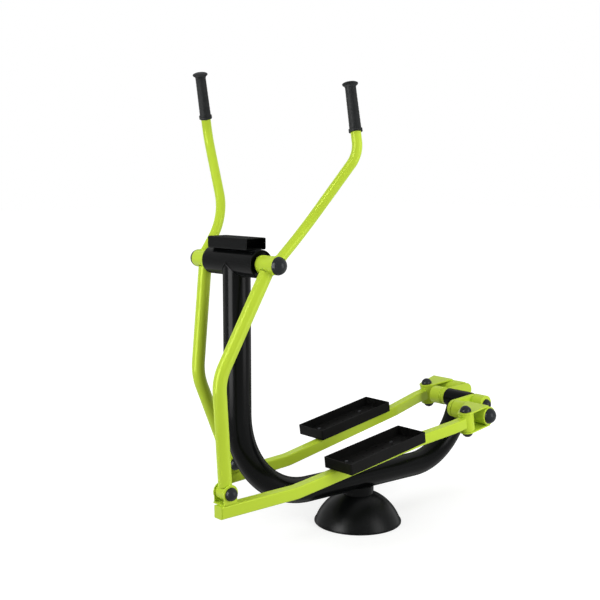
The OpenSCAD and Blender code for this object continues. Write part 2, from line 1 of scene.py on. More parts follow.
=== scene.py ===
"""Outdoor cross trainer: the painted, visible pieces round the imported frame.

Every length is in metres and every place is in the frame's own axes: X towards the cranks,
Y across the machine towards the user's right, Z up.
"""

import json
import math

import bmesh
import bpy
from bpy.props import FloatProperty, FloatVectorProperty, IntProperty, PointerProperty
from mathutils import Matrix, Quaternion, Vector


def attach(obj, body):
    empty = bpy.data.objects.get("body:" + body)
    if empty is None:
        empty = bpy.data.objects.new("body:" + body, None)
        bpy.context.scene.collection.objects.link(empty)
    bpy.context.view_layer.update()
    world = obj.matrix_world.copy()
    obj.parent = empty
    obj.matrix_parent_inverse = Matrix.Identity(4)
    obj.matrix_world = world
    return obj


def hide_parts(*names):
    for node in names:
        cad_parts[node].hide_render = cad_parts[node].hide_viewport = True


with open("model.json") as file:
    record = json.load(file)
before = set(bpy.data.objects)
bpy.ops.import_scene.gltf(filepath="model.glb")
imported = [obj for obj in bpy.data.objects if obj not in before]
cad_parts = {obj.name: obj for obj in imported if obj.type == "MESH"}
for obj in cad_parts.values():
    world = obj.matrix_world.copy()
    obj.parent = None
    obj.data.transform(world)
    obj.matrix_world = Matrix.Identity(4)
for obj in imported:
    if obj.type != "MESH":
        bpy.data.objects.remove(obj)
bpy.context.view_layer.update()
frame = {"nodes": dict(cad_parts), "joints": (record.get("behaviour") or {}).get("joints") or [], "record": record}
JOINTS = {joint["name"]: joint for joint in frame["joints"]}

bl_info = {
    "name": "Outdoor Cross Trainer",
    "version": (1, 0, 0),
    "blender": (4, 5, 0),
    "location": "View3D > Sidebar > Cross Trainer",
    "description": "Builds the painted pieces of an outdoor cross trainer on its packed frame",
    "category": "Object",
}

SIDES = {"left": -1.0, "right": 1.0}
REST = Matrix.Identity(4)

# Which finish each material slot of the record wears
FINISH_OF_SLOT = {
    "green_paint": "Green powder coat",
    "black_paint": "Black powder coat",
    "tray_paint": "Tray powder coat",
    "cover_plastic": "Cover plastic",
    "cap_plastic": "Cap plastic",
    "grip_rubber": "Grip rubber",
    "bush_nylon": "Bush nylon",
    "bare_steel": "Bare steel",
}

# Small lengths shared by several pieces
HAIR = 0.0001  # keeps neighbouring faces apart
SHAFT_HOLE = 0.0151  # radius of the hole for the head shaft and the crank axle
FRAME_WELD, ARM_WELD = 0.0028, 0.0021  # radius of a weld bead on the frame and on the levers
WELD_BITE = 0.002  # a tube welded to a hub starts this far inside the hub's face


# Sizes and colours


def length(name, description, default):
    return FloatProperty(
        name=name, description=description, default=default, unit="LENGTH", precision=4, min=0.0
    )


def angle(name, description, degrees):
    default = math.radians(degrees)
    return FloatProperty(name=name, description=description, default=default, subtype="ANGLE")


def paint(name, description, default):
    return FloatVectorProperty(
        name=name, description=description, default=default, size=3, subtype="COLOR", min=0, max=1
    )


class PostSizes(bpy.types.PropertyGroup):
    """The bent main tube and what is welded to it"""

    tube: length("Main tube diameter", "Outer diameter of the main tube and the head tube", 0.0889)
    wall: length("Main tube wall", "Wall of the main tube and the head tube", 0.003)
    head_length: length("Head tube length", "Length of the head tube across the machine", 0.248)
    run_height: length(
        "Bottom run height", "Height of the bottom run's centre over the base", 0.163
    )
    run_tilt: angle("Bottom run slope", "Slope of the bottom run, front end up", 2.0)
    front_bend: length("Front bend radius", "Bend between the post and the bottom run", 0.315)
    rear_bend: length("Rear bend radius", "Bend between the bottom run and the rear upright", 0.270)
    rear_slope: angle("Rear upright slope", "Slope of the rear upright", 69.0)
    console_width: length("Console tube width", "Rectangular tube, front to back", 0.079)
    console_height: length("Console tube height", "Height of the rectangular tube", 0.037)
    console_length: length("Console tube length", "Rectangular tube across the machine", 0.195)
    console_wall: length("Console tube wall", "Wall of the rectangular tube", 0.003)
    housing: length("Crank housing diameter", "Outer diameter of the crank housing", 0.070)
    housing_length: length("Crank housing length", "Length of the crank housing", 0.1134)


class BaseSizes(bpy.types.PropertyGroup):
    """The domed cover of the foot"""

    cover: length("Cover diameter", "Diameter of the domed cover at the ground", 0.316)
    cover_height: length("Cover height", "Height that the dome would have without its hole", 0.116)
    cover_wall: length("Cover wall", "Wall of the domed cover", 0.003)
    cover_lip: length("Cover lip", "Width and half the height of the upright lip", 0.003)
    neck: length("Neck diameter", "Outer diameter of the neck tube", 0.1143)


class CrankSizes(bpy.types.PropertyGroup):
    """The crank arms, their hubs and caps"""

    arm_thickness: length("Crank arm thickness", "Thickness of a crank arm", 0.015)
    arm_radius: length("Crank arm end radius", "Radius of the round ends of a crank arm", 0.032)
    arm_side: length("Crank arm gap", "From the housing's end to a crank arm", 0.0033)
    hub: length("Crank hub diameter", "Diameter of the hub outside a crank arm", 0.069)
    hub_length: length("Crank hub length", "Length of the hub outside a crank arm", 0.053)
    cap: length("Bolt cap diameter", "Diameter of a bolt cap", 0.042)
    cap_height: length("Bolt cap height", "Height of a bolt cap's dome", 0.019)


class LeverSizes(bpy.types.PropertyGroup):
    """The hand levers"""

    hub: length("Lever hub diameter", "Outer diameter of a lever hub", 0.057)
    hub_length: length("Lever hub length", "Length of a lever hub", 0.0785)
    hub_bore: length("Lever hub bore", "Bore of a lever hub", 0.0418)
    arm: length("Lower arm diameter", "Outer diameter of a lower arm", 0.0424)
    handle: length("Handle diameter", "Outer diameter of a handle", 0.032)
    wall: length("Lever wall", "Wall of a lower arm and a handle", 0.0026)
    barrel: length("Barrel diameter", "Barrel at the foot of a lower arm", 0.046)
    barrel_wall: length("Barrel wall", "Wall of the barrel", 0.005)
    grip: length("Grip diameter", "Diameter of a hand grip's body", 0.038)
    grip_length: length("Grip length", "Length of a hand grip", 0.152)


class BarSizes(bpy.types.PropertyGroup):
    """The foot bars and their front forks"""

    width: length("Bar width", "Width of a foot bar", 0.036)
    height: length("Bar height", "Height of a foot bar", 0.040)
    corner: length("Bar corner radius", "Rounding of a foot bar's corners", 0.0045)
    side: length("Bar side", "Foot bar from the middle plane at its front", 0.149)
    rise: length("Pivot rise", "Front pivot above the bar's centre line", 0.0535)
    front: length("Bar overhang", "Foot bar ahead of the front pivot", 0.0325)
    slope: angle("Front slope", "Slope of the front stretch against the pivot line", -3.0)
    ear_thickness: length("Ear thickness", "Thickness of the fork's ears", 0.004)
    ear_radius: length("Ear radius", "Radius of the fork's ears", 0.028)
    side_gap: length("Side gap", "Clearance beside the barrel", 0.0006)


class PedalSizes(bpy.types.PropertyGroup):
    """The foot trays"""

    length: length("Tray length", "Length of a pedal tray", 0.365)
    width: length("Tray width", "Width of a pedal tray", 0.129)
    height: length("Tray height", "Height of a tray's walls", 0.038)
    wall: length("Tray wall", "Wall of a pedal tray", 0.0035)
    floor: length("Tray floor", "Thickness of a tray's floor", 0.004)
    corner: length("Tray corner radius", "Rounding of a tray's upright corners", 0.005)
    along: length("Tray place", "Tray centre behind the front pivot", 0.605)
    side: length("Tray side", "Tray centre from the middle plane", 0.195)
    bolt: length("Tray bolt diameter", "Diameter of a tray bolt", 0.008)
    studs: IntProperty(name="Studs", description="Studs along a tray", default=7, min=2, max=12)


class SwivelSizes(bpy.types.PropertyGroup):
    """The swivels between the foot bars and the cranks"""

    reach: length("Swivel reach", "Swivel axis to crank pin axis", 0.0855)
    tilt: angle("Swivel tilt", "Tilt of the swivel axis against the bar line", 6.5)
    pin_tube: length("Pin tube diameter", "Tube round the crank pin", 0.068)
    pin_tube_wall: length("Pin tube wall", "Wall of the tube round the crank pin", 0.006)
    pin_tube_length: length("Pin tube length", "Length of the tube round the crank pin", 0.158)
    arm_gap: length("Pin tube gap", "From a crank arm to the pin tube", 0.004)
    boss: length("Boss diameter", "Diameter of the swivel boss", 0.056)
    bolt: length("Swivel bolt diameter", "Diameter of the swivel bolt", 0.016)
    plate: length("Plate thickness", "Thickness of a swivel plate", 0.006)
    plate_reach: length("Plate reach", "Swivel plate towards the middle plane", 0.066)
    pin_cap: length("Pin cap diameter", "Diameter of the cap over the crank pin", 0.0585)
    pin_cap_height: length("Pin cap height", "Height of the pin cap's dome", 0.023)


class Finishes(bpy.types.PropertyGroup):
    """The colours of the paints, plastics and metals"""

    green: paint("Green paint", "Powder coat of the moving tubes", (0.455, 0.605, 0.040))
    black: paint("Black paint", "Powder coat of the fixed tubes", (0.0024, 0.0027, 0.0028))
    tray: paint("Tray paint", "Powder coat of the pedal trays", (0.0052, 0.0052, 0.0050))
    cap: paint("Cap plastic", "Moulded plastic of the bolt caps", (0.0170, 0.0195, 0.0215))
    grip: paint("Grip rubber", "Rubber of the hand grips", (0.0068, 0.0074, 0.0076))
    steel: paint("Bare steel", "Shafts, bolts and nuts", (0.46, 0.47, 0.49))
    tray_bolt: paint("Blackened steel", "Heads of the tray bolts", (0.045, 0.047, 0.05))
    nylon: paint("Bush nylon", "Bushes inside the hubs", (0.66, 0.64, 0.56))
    floor: paint("Floor", "Plain pale floor", (0.42, 0.42, 0.42))


class TrainerSettings(bpy.types.PropertyGroup):
    """Every size and colour of the visible pieces"""

    post: PointerProperty(type=PostSizes)
    base: PointerProperty(type=BaseSizes)
    crank: PointerProperty(type=CrankSizes)
    lever: PointerProperty(type=LeverSizes)
    bar: PointerProperty(type=BarSizes)
    pedal: PointerProperty(type=PedalSizes)
    swivel: PointerProperty(type=SwivelSizes)
    finish: PointerProperty(type=Finishes)


# Places and frames of reference


def joint_place(name):
    return Vector(JOINTS[name]["pos_m"])


def turned(place, turn, side=1.0):
    """A frame at place, turned in the XZ plane, with its Y towards the given side."""
    c, s = math.cos(turn), math.sin(turn)
    x, y, z = place
    return Matrix(((c, 0, -s, x), (0, side, 0, y), (s, 0, c, z), (0, 0, 0, 1)))


def across(place, y=0.0):
    """The same frame with its Z pointing out along Y, for round pieces that lie across."""
    return place @ Matrix.Translation((0, y, 0)) @ Matrix.Rotation(-math.pi / 2, 4, "X")


def head_frame():
    head = joint_place("lever_left_swing")
    return turned((head.x, 0.0, head.z), 0.0)


def axle_frame(turn=0.0, side=1.0):
    axle = joint_place("crank_turn")
    return turned((axle.x, 0.0, axle.z), turn, side)


def lever_frame(side):
    """Origin on the head axis; the front pivot hangs straight down from it."""
    head, pivot = joint_place(f"lever_{side}_swing"), joint_place(f"bar_{side}_pitch")
    up = head - pivot
    return turned((head.x, 0.0, head.z), math.atan2(-up.x, up.z), SIDES[side])


def lever_reach():
    gap = joint_place("lever_left_swing") - joint_place("bar_left_pitch")
    return math.hypot(gap.x, gap.z)


def swivel_turn(side):
    axis = JOINTS[f"clevis_{side}_swivel"]["axis"]
    return math.atan2(-axis[0], axis[2])


def swivel_frame(side):
    """Origin at the swivel centre, X towards the crank pin and Z along the swivel bolt."""
    return turned(joint_place(f"clevis_{side}_swivel"), swivel_turn(side), SIDES[side])


def bar_frame(side, tilt):
    """Origin at the front pivot on the middle plane, X towards the crank pin."""
    pivot = joint_place(f"bar_{side}_pitch")
    return turned((pivot.x, 0.0, pivot.z), swivel_turn(side) - tilt, SIDES[side])


def spun(point, turn):
    c, s = math.cos(turn), math.sin(turn)
    return Vector((point[0] * c - point[1] * s, point[0] * s + point[1] * c))


def full_turn(count):
    return [2 * math.pi * i / count for i in range(count)]


# Shapes: lists of points and faces that become one mesh


class Shape:
    """Points and faces of one piece, gathered from closed parts."""

    def __init__(self):
        self.points = []
        self.faces = []

    def add(self, points, faces, place=None):
        first = len(self.points)
        self.points += [place @ Vector(p) if place else Vector(p) for p in points]
        self.faces += [tuple(first + i for i in face) for face in faces]
        return self

    def join(self, other, place=None):
        return self.add(other.points, other.faces, place)

    def mesh(self, name, place, crease=40.0):
        mesh = bpy.data.meshes.new(name)
        mesh.from_pydata([place @ p for p in self.points], [], self.faces)
        build = bmesh.new()
        build.from_mesh(mesh)
        bmesh.ops.remove_doubles(build, verts=build.verts, dist=1e-6)
        bmesh.ops.recalc_face_normals(build, faces=build.faces)
        build.to_mesh(mesh)
        build.free()
        mesh.shade_smooth()
        mesh.set_sharp_from_angle(angle=math.radians(crease))
        return mesh


def skin(rings, looped=False):
    """A closed skin over rings of equal length; a ring of one point closes an end."""
    points, starts = [], []
    for ring in rings:
        starts.append(len(points))
        points += ring
    faces = []
    pairs = list(zip(range(len(rings) - 1), range(1, len(rings))))
    if looped:
        pairs.append((len(rings) - 1, 0))
    for a, b in pairs:
        first, second = starts[a], starts[b]
        count = max(len(rings[a]), len(rings[b]))
        for i in range(count):
            j = (i + 1) % count
            if len(rings[a]) == 1:
                faces.append((first, second + j, second + i))
            elif len(rings[b]) == 1:
                faces.append((first + i, first + j, second))
            else:
                faces.append((first + i, first + j, second + j, second + i))
    if not looped:
        for index in (0, len(rings) - 1):
            if len(rings[index]) > 2:
                faces.append(tuple(starts[index] + i for i in range(len(rings[index]))))
    return Shape().add(points, faces)


def softened(profile, radius, steps=3, closed=False):
    """The profile with each clear corner rounded to at most the given radius."""
    count, out = len(profile), []
    for i, corner in enumerate(profile):
        if not closed and i in (0, count - 1):
            out.append(corner)
            continue
        before, after = profile[i - 1], profile[(i + 1) % count]
        b = Vector((before[0] - corner[0], before[1] - corner[1]))
        a = Vector((after[0] - corner[0], after[1] - corner[1]))
        bend = b.angle(a, math.pi)
        if bend > math.radians(160):
            out.append(corner)
            continue
        reach = min(radius / math.tan(bend / 2), 0.45 * b.length, 0.45 * a.length)
        for k in range(steps + 1):
            t = k / steps
            p = Vector(corner)
            start, end = p + b.normalized() * reach, p + a.normalized() * reach
            out.append(tuple(start * (1 - t) ** 2 + p * 2 * t * (1 - t) + end * t**2))
    return out


def spin(profile, segments=64, closed=False):
    """A round piece: the profile's (radius, height) points turned about Z."""
    rings = []
    for radius, height in profile:
        turns = full_turn(segments) if radius >= 1e-6 else [0.0]
        if radius < 1e-6:
            radius = 0.0
        rings.append([Vector((radius * math.cos(t), radius * math.sin(t), height)) for t in turns])
    return skin(rings, looped=closed)


def lathe(profile, soft, segments=64):
    """A round piece with an open middle and softened edges."""
    return spin(softened(profile, soft, closed=True), segments, closed=True)


def sleeve(outer, inner, low, high, soft=0.0008):
    """A tube about Z with softened rims."""
    return lathe([(outer, low), (outer, high), (inner, high), (inner, low)], soft)


def stepped_tube(long, outer, bore, middle, depth, soft):
    """A tube about Z whose bore narrows to the middle radius at a depth from each end."""
    half = long / 2
    profile = [(outer, -half), (outer, half), (bore, half), (bore, half - depth)]
    profile += [(middle, half - depth), (middle, depth - half), (bore, depth - half), (bore, -half)]
    return lathe(profile, soft, 72)


def dome(radius, height, rim=0.002, steps=12):
    """A round-topped cap on the XY plane with a short upright rim."""
    ball = (radius**2 + height**2) / (2 * height)
    top = math.asin(min(1.0, radius / ball))
    if height > radius:
        top = math.pi - top
    arc = []
    for k in range(steps):
        t = top * (1 - k / steps)
        arc.append((ball * math.sin(t), rim + height - ball + ball * math.cos(t)))
    edge = 0.0006
    return spin([(0.0, 0.0), (radius - edge, 0.0), (radius, edge)] + arc + [(0.0, rim + height)])


def route(points, bends, step=math.radians(4)):
    """Centre points of a tube: straight runs joined by arcs."""
    path = [Vector(points[0])]
    for i, bend in enumerate(bends, 1):
        before, corner, after = (Vector(points[j]) for j in (i - 1, i, i + 1))
        to_before, to_after = (before - corner).normalized(), (after - corner).normalized()
        half = to_before.angle(to_after) / 2
        reach = bend / math.tan(half)
        centre = corner + (to_before + to_after).normalized() * bend / math.sin(half)
        start = corner + to_before * reach - centre
        axis = start.cross(corner + to_after * reach - centre)
        turn = math.pi - 2 * half
        count = max(2, math.ceil(turn / step))
        path += [centre + Quaternion(axis, turn * k / count) @ start for k in range(count + 1)]
    path.append(Vector(points[-1]))
    return path


def stations(path, looped=False):
    """Each path point with its direction and two directions square to it."""
    count, out, side = len(path), [], None
    for i, point in enumerate(path):
        before = path[i - 1] if i or looped else path[0]
        after = path[(i + 1) % count] if i < count - 1 or looped else path[-1]
        ahead = (after - before).normalized()
        if side is None:
            side = ahead.orthogonal().normalized()
        side = (side - ahead * side.dot(ahead)).normalized()
        out.append((point, ahead, side, ahead.cross(side)))
    return out


def circle_at(station, radius, slide=0.0, segments=48):
    point, ahead, side, up = station
    middle = point + ahead * slide
    return [middle + (side * math.cos(t) + up * math.sin(t)) * radius for t in full_turn(segments)]


def pipe(path, outer, inner, rim=0.0007, segments=48):
    """A round tube along path, open at both ends."""
    line = stations(path)

    def wall(radius, edge):
        rings = [circle_at(line[0], radius + edge, 0.0, segments)]
        rings.append(circle_at(line[0], radius, rim, segments))
        rings += [circle_at(s, radius, 0.0, segments) for s in line[1:-1]]
        rings.append(circle_at(line[-1], radius, -rim, segments))
        return rings + [circle_at(line[-1], radius + edge, 0.0, segments)]

    return skin(wall(outer, -rim) + wall(inner, rim)[::-1], looped=True)


def bead(path, radius=ARM_WELD, ripple=0.10, spacing=0.0035):
    """A painted-over weld bead along a closed path."""
    line = stations(path, looped=True)
    travelled, rings = 0.0, []
    for i, station in enumerate(line):
        travelled += (station[0] - line[i - 1][0]).length if i else 0.0
        swell = 1.0 + ripple * math.cos(2 * math.pi * travelled / spacing)
        rings.append(circle_at(station, radius * swell, 0.0, 8))
    return skin(rings, looped=True)


def joint_line(start, ahead, radius, hub_radius, count=160):
    """Where a round tube from a hub's axis meets the hub, whose axis is Y through the origin."""
    ahead = Vector(ahead).normalized()
    side = ahead.orthogonal().normalized()
    up = ahead.cross(side)
    out = []
    for t in full_turn(count):
        p = Vector(start) + (side * math.cos(t) + up * math.sin(t)) * radius
        a = ahead.x**2 + ahead.z**2
        b = 2 * (p.x * ahead.x + p.z * ahead.z)
        c = p.x**2 + p.z**2 - hub_radius**2
        root = math.sqrt(max(0.0, b * b - 4 * a * c))
        out.append(p + ahead * (-b + root) / (2 * a))
    return out


def plate(outline, thickness, soft=0.0010):
    """A flat plate on the XY plane with softened edges."""
    build = bmesh.new()
    face = build.faces.new([build.verts.new((x, y, 0)) for x, y in outline])
    lifted = bmesh.ops.extrude_face_region(build, geom=[face])
    top = [v for v in lifted["geom"] if isinstance(v, bmesh.types.BMVert)]
    bmesh.ops.translate(build, verts=top, vec=(0, 0, thickness))
    bmesh.ops.recalc_face_normals(build, faces=build.faces)
    sharp = [e for e in build.edges if e.calc_face_angle(0.0) > math.radians(30)]
    bmesh.ops.bevel(build, geom=sharp, offset=soft, segments=2, profile=0.5, affect="EDGES")
    build.verts.index_update()
    points = [v.co.copy() for v in build.verts]
    shape = Shape().add(points, [tuple(v.index for v in f.verts) for f in build.faces])
    build.free()
    return shape


def rounded_rectangle(long, wide, corner, steps=4):
    """Outline of a rectangle about the origin with round corners."""
    out = []
    for sx, sy, start in ((1, 1, 0), (-1, 1, 90), (-1, -1, 180), (1, -1, 270)):
        x, y = sx * (long / 2 - corner), sy * (wide / 2 - corner)
        for k in range(steps + 1):
            t = math.radians(start + 90 * k / steps)
            out.append((x + corner * math.cos(t), y + corner * math.sin(t)))
    return out


# Paints, plastics and metals


def add_node(tree, kind, sockets=None, operation=None):
    """A new shader node with plain values in its sockets, given by number or by name."""
    node = tree.nodes.new(f"ShaderNode{kind}")
    if operation:
        node.operation = operation
    for socket, value in (sockets or {}).items():
        node.inputs[socket].default_value = value
    return node


def wire(tree, *links):
    """Links nodes, each link given as (node, its output, node, its input)."""
    for giver, output, taker, socket in links:
        tree.links.new(giver.outputs[output], taker.inputs[socket])


def shader_group(name, inputs, outputs):
    """A new node group with its end nodes; a tuple makes a colour socket, a number a plain one."""
    group = bpy.data.node_groups.new(name, "ShaderNodeTree")
    for way, sockets in (("INPUT", inputs), ("OUTPUT", outputs)):
        for label, value in sockets.items():
            kind = "NodeSocketColor" if isinstance(value, tuple) else "NodeSocketFloat"
            socket = group.interface.new_socket(label, in_out=way, socket_type=kind)
            socket.default_value = value
    return group, group.nodes.new("NodeGroupInput"), group.nodes.new("NodeGroupOutput")


def grain_group():
    """Fine texture of a coated or moulded surface: a height, a tone mask and a roughness."""
    group, source, result = shader_group(
        "Surface grain",
        {"Grain size": 600.0, "Roughness": 0.3, "Roughness spread": 0.05},
        {"Height": 0.0, "Cloud": 0.0, "Roughness": 0.0},
    )
    place = add_node(group, "TexCoord")
    fine = add_node(group, "TexNoise", {"Detail": 2.0, "Roughness": 0.45})
    cloud = add_node(group, "TexNoise", {"Detail": 3.0, "Scale": 9.0})
    centred = add_node(group, "Math", {1: 0.5}, "SUBTRACT")
    spread = add_node(group, "Math", operation="MULTIPLY_ADD")
    wire(
        group,
        (place, "Object", fine, "Vector"),
        (place, "Object", cloud, "Vector"),
        (source, "Grain size", fine, "Scale"),
        (cloud, "Fac", centred, 0),
        (centred, 0, spread, 0),
        (source, "Roughness spread", spread, 1),
        (source, "Roughness", spread, 2),
        (fine, "Fac", result, "Height"),
        (cloud, "Fac", result, "Cloud"),
        (spread, 0, result, "Roughness"),
    )


def tone_group():
    """A colour that drifts a little over the surface."""
    group, source, result = shader_group(
        "Paint tone",
        {"Color": (0.5, 0.5, 0.5, 1.0), "Mask": 0.5, "Drift": 0.05},
        {"Color": (0.5, 0.5, 0.5, 1.0)},
    )
    reach = add_node(group, "MapRange", {"From Min": 0.3, "From Max": 0.7})
    swing = add_node(group, "Math", {1: 0.5}, "SUBTRACT")
    lift = add_node(group, "Math", {2: 1.0}, "MULTIPLY_ADD")
    scale = add_node(group, "VectorMath", operation="SCALE")
    wire(
        group,
        (source, "Mask", reach, "Value"),
        (reach, "Result", swing, 0),
        (swing, 0, lift, 0),
        (source, "Drift", lift, 1),
        (source, "Color", scale, 0),
        (lift, 0, scale, "Scale"),
        (scale, 0, result, "Color"),
    )


def add_group(tree, name, sockets):
    node = add_node(tree, "Group")
    node.node_tree = bpy.data.node_groups[name]
    for socket, value in sockets.items():
        node.inputs[socket].default_value = value
    return node


# Surfaces seen at a shallow angle turn matt, from the first to the second share of facing away
SHALLOW = (0.5, 0.85)
RELIEF = 0.0004


def finish(
    name, color, rough, spread=0.05, drift=0.05, grain=700.0, bump=0.04, matt=0.9, **sockets
):
    """A material whose colour, roughness and surface come from the shared groups."""
    material = bpy.data.materials.new(name)
    material.use_nodes = True
    tree = material.node_tree
    shader = tree.nodes["Principled BSDF"]
    for socket, value in sockets.items():
        shader.inputs[socket.replace("_", " ")].default_value = value
    surface = {"Grain size": grain, "Roughness": rough, "Roughness spread": spread}
    texture = add_group(tree, "Surface grain", surface)
    tone = add_group(tree, "Paint tone", {"Color": (*color, 1.0), "Drift": drift})
    relief = add_node(tree, "Bump", {"Strength": bump, "Distance": RELIEF})
    slant = add_node(tree, "LayerWeight")
    limits = {"From Min": SHALLOW[0], "From Max": SHALLOW[1], "To Max": matt}
    shallow = add_node(tree, "MapRange", limits)
    rougher = add_node(tree, "Math", operation="MAXIMUM")
    wire(
        tree,
        (texture, "Cloud", tone, "Mask"),
        (tone, "Color", shader, "Base Color"),
        (slant, "Facing", shallow, "Value"),
        (shallow, "Result", rougher, 0),
        (texture, "Roughness", rougher, 1),
        (rougher, 0, shader, "Roughness"),
        (texture, "Height", relief, "Height"),
        (relief, "Normal", shader, "Normal"),
    )


# Pieces


def put(name, body, shape, place, slot, *nodes, coat=None):
    """Makes one piece from a shape, sets it on its body and lets it stand for its CAD nodes."""
    piece = bpy.data.objects.new(name, shape.mesh(name, place))
    bpy.context.scene.collection.objects.link(piece)
    piece.data.materials.append(bpy.data.materials[coat or FINISH_OF_SLOT[slot]])
    even = piece.modifiers.new("Even shading", "WEIGHTED_NORMAL")
    even.keep_sharp = True
    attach(piece, body)
    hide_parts(*nodes)


class Build:
    """What each operator of this file shares."""

    bl_options = {"REGISTER", "UNDO"}

    @staticmethod
    def sizes(context):
        return context.scene.cross_trainer


class TRAINER_OT_finishes(Build, bpy.types.Operator):
    """Make the paints, plastics and metals"""

    bl_idname = "cross_trainer.finishes"
    bl_label = "Finishes"

    def execute(self, context):
        colors = self.sizes(context).finish
        grain_group()
        tone_group()
        coat = {"spread": 0.03, "drift": 0.03, "grain": 330, "bump": 0.006}
        tint = (0.90, 1.0, 0.30, 1.0)
        finish("Green powder coat", colors.green, 0.20, **coat, IOR=1.31, Specular_Tint=tint)
        coat = {"spread": 0.04, "drift": 0.2, "grain": 330, "bump": 0.015}
        finish("Black powder coat", colors.black, 0.20, **coat, IOR=1.15)
        coat = {"spread": 0.08, "drift": 0.3, "grain": 500, "bump": 0.05}
        finish("Tray powder coat", colors.tray, 0.40, **coat, IOR=1.12)
        moulded = {"spread": 0.06, "drift": 0.2, "grain": 300, "bump": 0.02}
        finish("Cover plastic", colors.black, 0.34, **moulded, IOR=1.18)
        finish("Cap plastic", colors.cap, 0.22, grain=500, bump=0.015, IOR=1.20)
        rubber = {"spread": 0.10, "drift": 0.25, "grain": 900, "bump": 0.10}
        finish("Grip rubber", colors.grip, 0.60, **rubber, IOR=1.25)
        finish("Bush nylon", colors.nylon, 0.5, grain=1200, bump=0.05)
        metal = {"matt": 0.0, "Metallic": 1.0}
        blackened = {"spread": 0.12, "drift": 0.2, "grain": 1200}
        finish("Blackened steel", colors.tray_bolt, 0.42, **blackened, **metal)
        turned_steel = {"spread": 0.10, "drift": 0.12, "grain": 1800, "bump": 0.06}
        finish("Bare steel", colors.steel, 0.34, **turned_steel, **metal)
        return {"FINISHED"}


# The upright ends this far under the head tube's axis, and the rear end this far inside the housing
TOP_DROP, HOUSING_BITE = 0.001, 0.004
# End plates of the head tube, and bearing seats of the crank housing: depth, radius, shoulder
END_PLATE = 0.008
SEAT_DEPTH, SEAT_RADIUS, SEAT_SHOULDER = 0.017, 0.031, 0.003
CONSOLE_CORNER, CONSOLE_INNER_CORNER, CONSOLE_EDGE = 0.0045, 0.002, 0.0006
# The console tube's underside sinks into the round head tube by this share of its wall
CONSOLE_SINK = 0.6
# The head tube's weld bead sits just inside both tubes; the housing's bead goes this deep
BEAD_SHARE, BEAD_DEPTH = 0.999, 0.006


def post_path(post):
    """Centre line of the main tube, from the head tube to the crank housing."""
    head, axle = joint_place("lever_left_swing"), joint_place("crank_turn")
    slope, tilt = math.tan(post.rear_slope), math.tan(post.run_tilt)
    front_foot = (head.x, 0.0, post.run_height - head.x * tilt)
    foot_x = (post.run_height - axle.z + axle.x * slope) / (slope + tilt)
    rear_foot = (foot_x, 0.0, post.run_height - foot_x * tilt)
    inset = post.housing / 2 - HOUSING_BITE
    rear_x = axle.x - math.cos(post.rear_slope) * inset
    rear_top = (rear_x, 0.0, axle.z - math.sin(post.rear_slope) * inset)
    top = (head.x, 0.0, head.z - TOP_DROP)
    return [top, front_foot, rear_foot, rear_top], [post.front_bend, post.rear_bend]


class TRAINER_OT_post(Build, bpy.types.Operator):
    """Build the main tube, the head tube, the console tube and the crank housing"""

    bl_idname = "cross_trainer.post"
    bl_label = "Post and tubes"

    def execute(self, context):
        post = self.sizes(context).post
        radius, bore = post.tube / 2, post.tube / 2 - post.wall
        points, bends = post_path(post)
        tube = pipe(route(points, bends, math.radians(2.5)), radius, bore, segments=72)
        tube.join(bead(self.head_weld(radius), FRAME_WELD))
        tube.join(bead(self.housing_weld(post, points), FRAME_WELD))
        put("Main_tube", "frame", tube, REST, "black_paint", "frame_tube")

        head = stepped_tube(post.head_length, radius, bore, SHAFT_HOLE, END_PLATE, 0.0012)
        put("Head_tube", "frame", head, across(head_frame()), "black_paint", "head_tube")

        low = radius - CONSOLE_SINK * post.console_wall
        middle = head_frame() @ Matrix.Translation((0, 0, low + post.console_height / 2))
        put("Console_tube", "frame", self.console(post), middle, "black_paint", "console_tube")

        seats = (SEAT_RADIUS, SEAT_RADIUS - SEAT_SHOULDER, SEAT_DEPTH)
        housing = stepped_tube(post.housing_length, post.housing / 2, *seats, 0.0010)
        put("Crank_housing", "frame", housing, across(axle_frame()), "black_paint", "crank_housing")
        return {"FINISHED"}

    @staticmethod
    def console(post):
        """The rectangular tube over the head tube, with softened ends."""
        wide, high, wall = post.console_width, post.console_height, post.console_wall
        outer = rounded_rectangle(wide, high, CONSOLE_CORNER)
        inner = rounded_rectangle(wide - 2 * wall, high - 2 * wall, CONSOLE_INNER_CORNER)
        end, soft = post.console_length / 2, CONSOLE_EDGE

        def ring(outline, y, grow=0.0):
            fit_x, fit_z = 1 + grow / wide, 1 + grow / high
            return [Vector((x * fit_x, y, z * fit_z)) for x, z in outline]

        walls = [ring(outer, -end, -2 * soft), ring(outer, soft - end), ring(outer, end - soft)]
        walls += [ring(outer, end, -2 * soft), ring(inner, end, 2 * soft), ring(inner, end - soft)]
        walls += [ring(inner, soft - end), ring(inner, -end, 2 * soft)]
        return skin(walls, looped=True)

    @staticmethod
    def head_weld(radius):
        """Where the upright tube meets the head tube of the same diameter."""
        head = joint_place("lever_left_swing")
        out = []
        for t in full_turn(200):
            x, y = radius * BEAD_SHARE * math.cos(t), radius * BEAD_SHARE * math.sin(t)
            out.append(Vector((head.x + x, y, head.z - math.sqrt(radius**2 - x * x))))
        return out

    @staticmethod
    def housing_weld(post, points):
        """Where the rear upright meets the crank housing, which is the thinner of the two."""
        ahead = (Vector(points[-1]) - Vector(points[-2])).normalized()
        side = Vector((-ahead.z, 0, ahead.x))
        tube, housing = post.tube / 2, post.housing / 2
        axle = joint_place("crank_turn")
        centre = Vector((axle.x, 0, axle.z))
        out = []
        for t in full_turn(200):
            off = tube * math.cos(t)
            reach = max((housing - BEAD_DEPTH) ** 2, housing**2 - off**2)
            across_y = Vector((0, tube * math.sin(t), 0))
            out.append(centre - ahead * math.sqrt(reach) + side * off + across_y)
        return out


